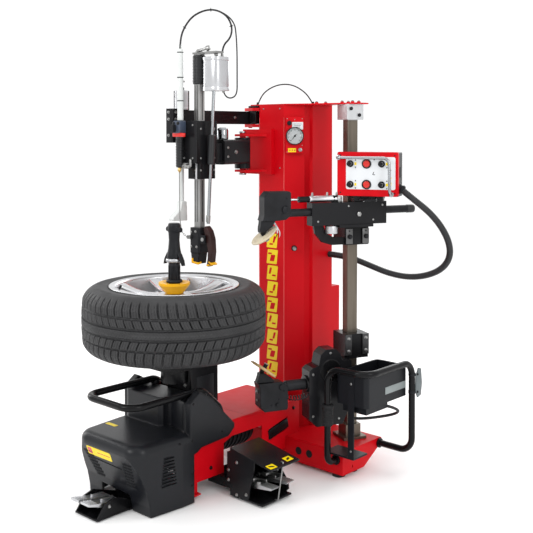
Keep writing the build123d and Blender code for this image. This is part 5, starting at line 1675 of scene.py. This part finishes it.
def make_base_details():
    """Bolts, near-black discs painted as the shade in the foot holes, channel, and a darker red line painted
    as shadow along the seam of the base.
    """
    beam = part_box("base_beam")
    right, top = beam[1].x, beam[1].z
    bolts, caps = bmesh.new(), bmesh.new()
    for y, z in ((-0.055, 0.115), (0.045, 0.100), (0.560, 0.230)):
        add_bolt(bolts, (right, y, z), RIGHT, 7)
    piece("beam_bolts", bolts, "frame", *BLACK_PAINT, bevel=0.0005)
    # Painted shade: near-black discs stand for the four foot holes in the base beam.
    for x in (0.24, 0.30, -0.24, -0.30):
        add_round(caps, (x, 0.5098, 0.066), FRONT, 0.0168, 0.0012, 40)
    piece("foot_hole_shades", caps, "frame", *DARK_PRINT_AND_SHADE)
    rails = bmesh.new()
    add_block(rails, (right - 0.001, 0.4575, 0.160), (0.010, 0.130, 0.040), (0, -0.22, 1), RIGHT)
    piece("beam_channel", rails, "frame", *BLACK_PAINT, bevel=0.002, segments=3)
    # Painted shadow: a darker red line along the seam on the beam's top.
    seam = bmesh.new()
    add_block(seam, (0, 0.262, top + 0.0001), (2 * right - 0.024, 0.0016, 0.0006))
    piece("beam_seam", seam, "frame", finish("shadow_red", (0.35, 0.002, 0.006), 0.4), "red_paint")


make_base_details()


# ------------------------------------------------------------------ guard frame and tray

def make_guard_details():
    """Guard flanges, grip, tray lip and plate, tray hose and side flap."""
    ends = bmesh.new()
    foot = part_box("cross_feet")
    add_round(ends, (0.450, 0.506, 0.078), (0, 1, 0), 0.021, 0.010, 40)
    add_round(ends, (foot[1].x + 0.004, 0.772, 0.092), RIGHT, 0.021, 0.008, 40)
    piece("guard_flanges", ends, "frame", *BLACK_PAINT, bevel=0.0015)
    grip_profile = [(0.0145, 0.238), (0.0205, 0.239), (0.0235, 0.246)]
    for step in range(6):
        z = 0.252 + step * 0.0105
        grip_profile += [(0.0235, z), (0.0220, z + 0.0015), (0.0220, z + 0.0030), (0.0235, z + 0.0045)]
    grip_profile += [(0.0260, 0.316), (0.0265, 0.324), (0.0225, 0.328), (0.0145, 0.328)]
    piece("guard_rubber_grip", lathe(grip_profile, at=(0.450, 0.450, 0), sides=56), "frame",
          *PAD_RUBBER, bevel=0.0006)

    lip = bmesh.new()
    for (x0, y0), (x1, y1) in (((0.478, 0.487), (0.478, 0.744)), ((0.638, 0.487), (0.638, 0.744)),
                               ((0.496, 0.469), (0.620, 0.469)), ((0.496, 0.762), (0.620, 0.762))):
        along = Vector((x1 - x0, y1 - y0, 0))
        add_block(lip, ((x0 + x1) / 2, (y0 + y1) / 2, 0.4635), (along.length, 0.007, 0.005), UP, along)
    piece("tray_lip", lip, "frame", *BLACK_PLASTIC, bevel=0.0018, segments=3)
    plate = bmesh.new()
    add_block(plate, (0.6387, 0.672, 0.388), (0.0014, 0.150, 0.030))
    piece("tray_side_plate", plate, "frame", finish("grey_plate", (0.23, 0.26, 0.26), 0.45), "dark_casting",
          bevel=0.0006)
    bosses = bmesh.new()
    add_socket_screw(bosses, (0.560, 0.4645, 0.430), FRONT, 6)
    add_socket_screw(bosses, (0.560, 0.4645, 0.150), FRONT, 5)
    piece("tray_strap_screws", bosses, "frame", *STEEL, bevel=0.0006)
    hose = bmesh.new()
    route = mm((600, 640, 312), (624, 652, 308), (640, 672, 298), (640, 694, 284), (622, 706, 268),
               (592, 704, 254), (556, 690, 243), (516, 664, 234), (480, 640, 229), (448, 622, 228))
    line, length = resample(spline_points("pipe_line", route), 0.006)
    add_tube(hose, line, 0.006, 16)
    obj = piece("tray_drain_hose", hose, "frame", *HOSE_RUBBER, angle=70)
    flap_mesh, straps = bmesh.new(), bmesh.new()
    flap = [(0, 0), (26, 8), (34, 60), (26, 122), (6, 128), (-12, 96), (-14, 30)]
    add_print(flap_mesh, flap, lambda y, z, o: Vector((0.667 + o * MM, (0.790 + y * MM), 0.326 + z * MM)), 6)
    piece("guard_side_flap", flap_mesh, "frame", finish("grey_flap", (0.11, 0.13, 0.135), 0.5),
          "dark_casting", bevel=0.0018, segments=3)
    for z in (0.352, 0.428):
        add_round(straps, (0.655, 0.7715, z), UP, 0.0158, 0.012, 40)
        add_bolt(straps, (0.673, 0.786, z), RIGHT, 5)
    piece("guard_flap_straps", straps, "frame", *BLACK_PLASTIC, bevel=0.0012)


make_guard_details()


# ------------------------------------------------------------------ pedals

def make_side_pedals():
    """Labels, rod, cams and treads of the side pedal box."""
    def on_lid(x, y, out):
        """Point on the pedal box's sloping lid, in millimetres."""
        return Vector((x * MM, y * MM, (201 - (x - 262) * 38 / 220 + out) * MM))

    tags = [label(462, 86, 30, 40, 2), label(454, 192, 30, 40, 2)]
    print_piece("pedal_labels", tags, on_lid, "frame", *YELLOW_PRINT)
    print_piece("pedal_label_marks", [label(462, 86, 10, 22, 2, 0.4), label(454, 192, 10, 22, 2, -0.4)],
                lambda x, y, o: on_lid(x, y, o + 0.35), "frame", *DARK_PRINT_AND_SHADE, 0.2)
    rod = bmesh.new()
    add_tube(rod, rounded([on_lid(458, 148, 1), on_lid(470, 146, 5), (0.470, 0.145, 0.160),
                           (0.452, 0.136, 0.018), (0.436, 0.136, 0.014)], 0.005), 0.0030, 14)
    piece("pedal_spring_rod", rod, "frame", *STEEL)
    steel = bmesh.new()
    for y in (0.076, 0.151, 0.218):
        for x, z in ((0.335, 0.088), (0.372, 0.096)):
            add_round(steel, (x, y, z), (0, 1, 0), 0.0085, 0.009, 24)
        add_block(steel, (0.352, y, 0.092), (0.052, 0.005, 0.015), (-0.2, 0, 1))
    piece("pedal_cams", steel, "frame", *STEEL, bevel=0.001)
    for number in (1, 2):
        node = f"side_pedal_{number}"
        y = joint_place(node + "_press").y
        treads = bmesh.new()
        for step in range(6):
            add_block(treads, (0.406 + step * 0.010, y, 0.0795), (0.0035, 0.038, 0.003), (-0.02, 0, 1))
        for side in (-1, 1):
            add_block(treads, (0.366, y + side * 0.018, 0.0770), (0.074, 0.005, 0.016), (-0.13, 0, 1))
        add_round(treads, (0.344, y, 0.078), (0, 1, 0), 0.010, 0.040, 28)
        piece(node + "_treads", treads, node, *STEEL, bevel=0.0008)
    bolts = bmesh.new()
    for x, z in ((0.300, 0.020), (0.352, 0.034), (0.300, 0.150), (0.2535, 0.110), (0.2535, 0.070)):
        add_bolt(bolts, (x, 0.060, z), FRONT, 6)
    piece("pedal_box_bolts", bolts, "frame", *STEEL, bevel=0.0005)


make_side_pedals()


def make_front_pedals():
    """Ribs, springs and bolts of the front pedals."""
    for number in (1, 2):
        node = f"front_pedal_{number}"
        at = centre(node)
        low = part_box(node)[0]
        ribs = bmesh.new()
        for step in range(4):
            add_block(ribs, (at.x, low.y + 0.010 + step * 0.010, 0.0738 - step * 0.0019),
                      (0.044, 0.0035, 0.003), (0, 0.2, 1))
        add_block(ribs, (at.x, -0.372, 0.0600), (0.010, 0.060, 0.008), (0, 0.1, 1))
        piece(node + "_ribs", ribs, node, *ALUMINIUM, bevel=0.0009)
    springs = bmesh.new()
    for x in (-0.034, 0.028):
        line = [Vector((x + 0.007 * cos(a), -0.300, 0.028 + 0.007 * sin(a))) + Vector((0, -a * 0.0011, 0))
                for a in np.linspace(0, 2 * pi * 7, 110)]
        add_tube(springs, line, 0.0013, 8)
    piece("front_pedal_springs", springs, "frame", *STEEL)
    bolts = bmesh.new()
    for x, way in ((-0.0692, -1), (0.0652, 1)):
        add_bolt(bolts, (x, -0.392, 0.046), (way, 0, 0), 6)
    piece("front_pedal_bolts", bolts, "frame", *STEEL, bevel=0.0005)


make_front_pedals()
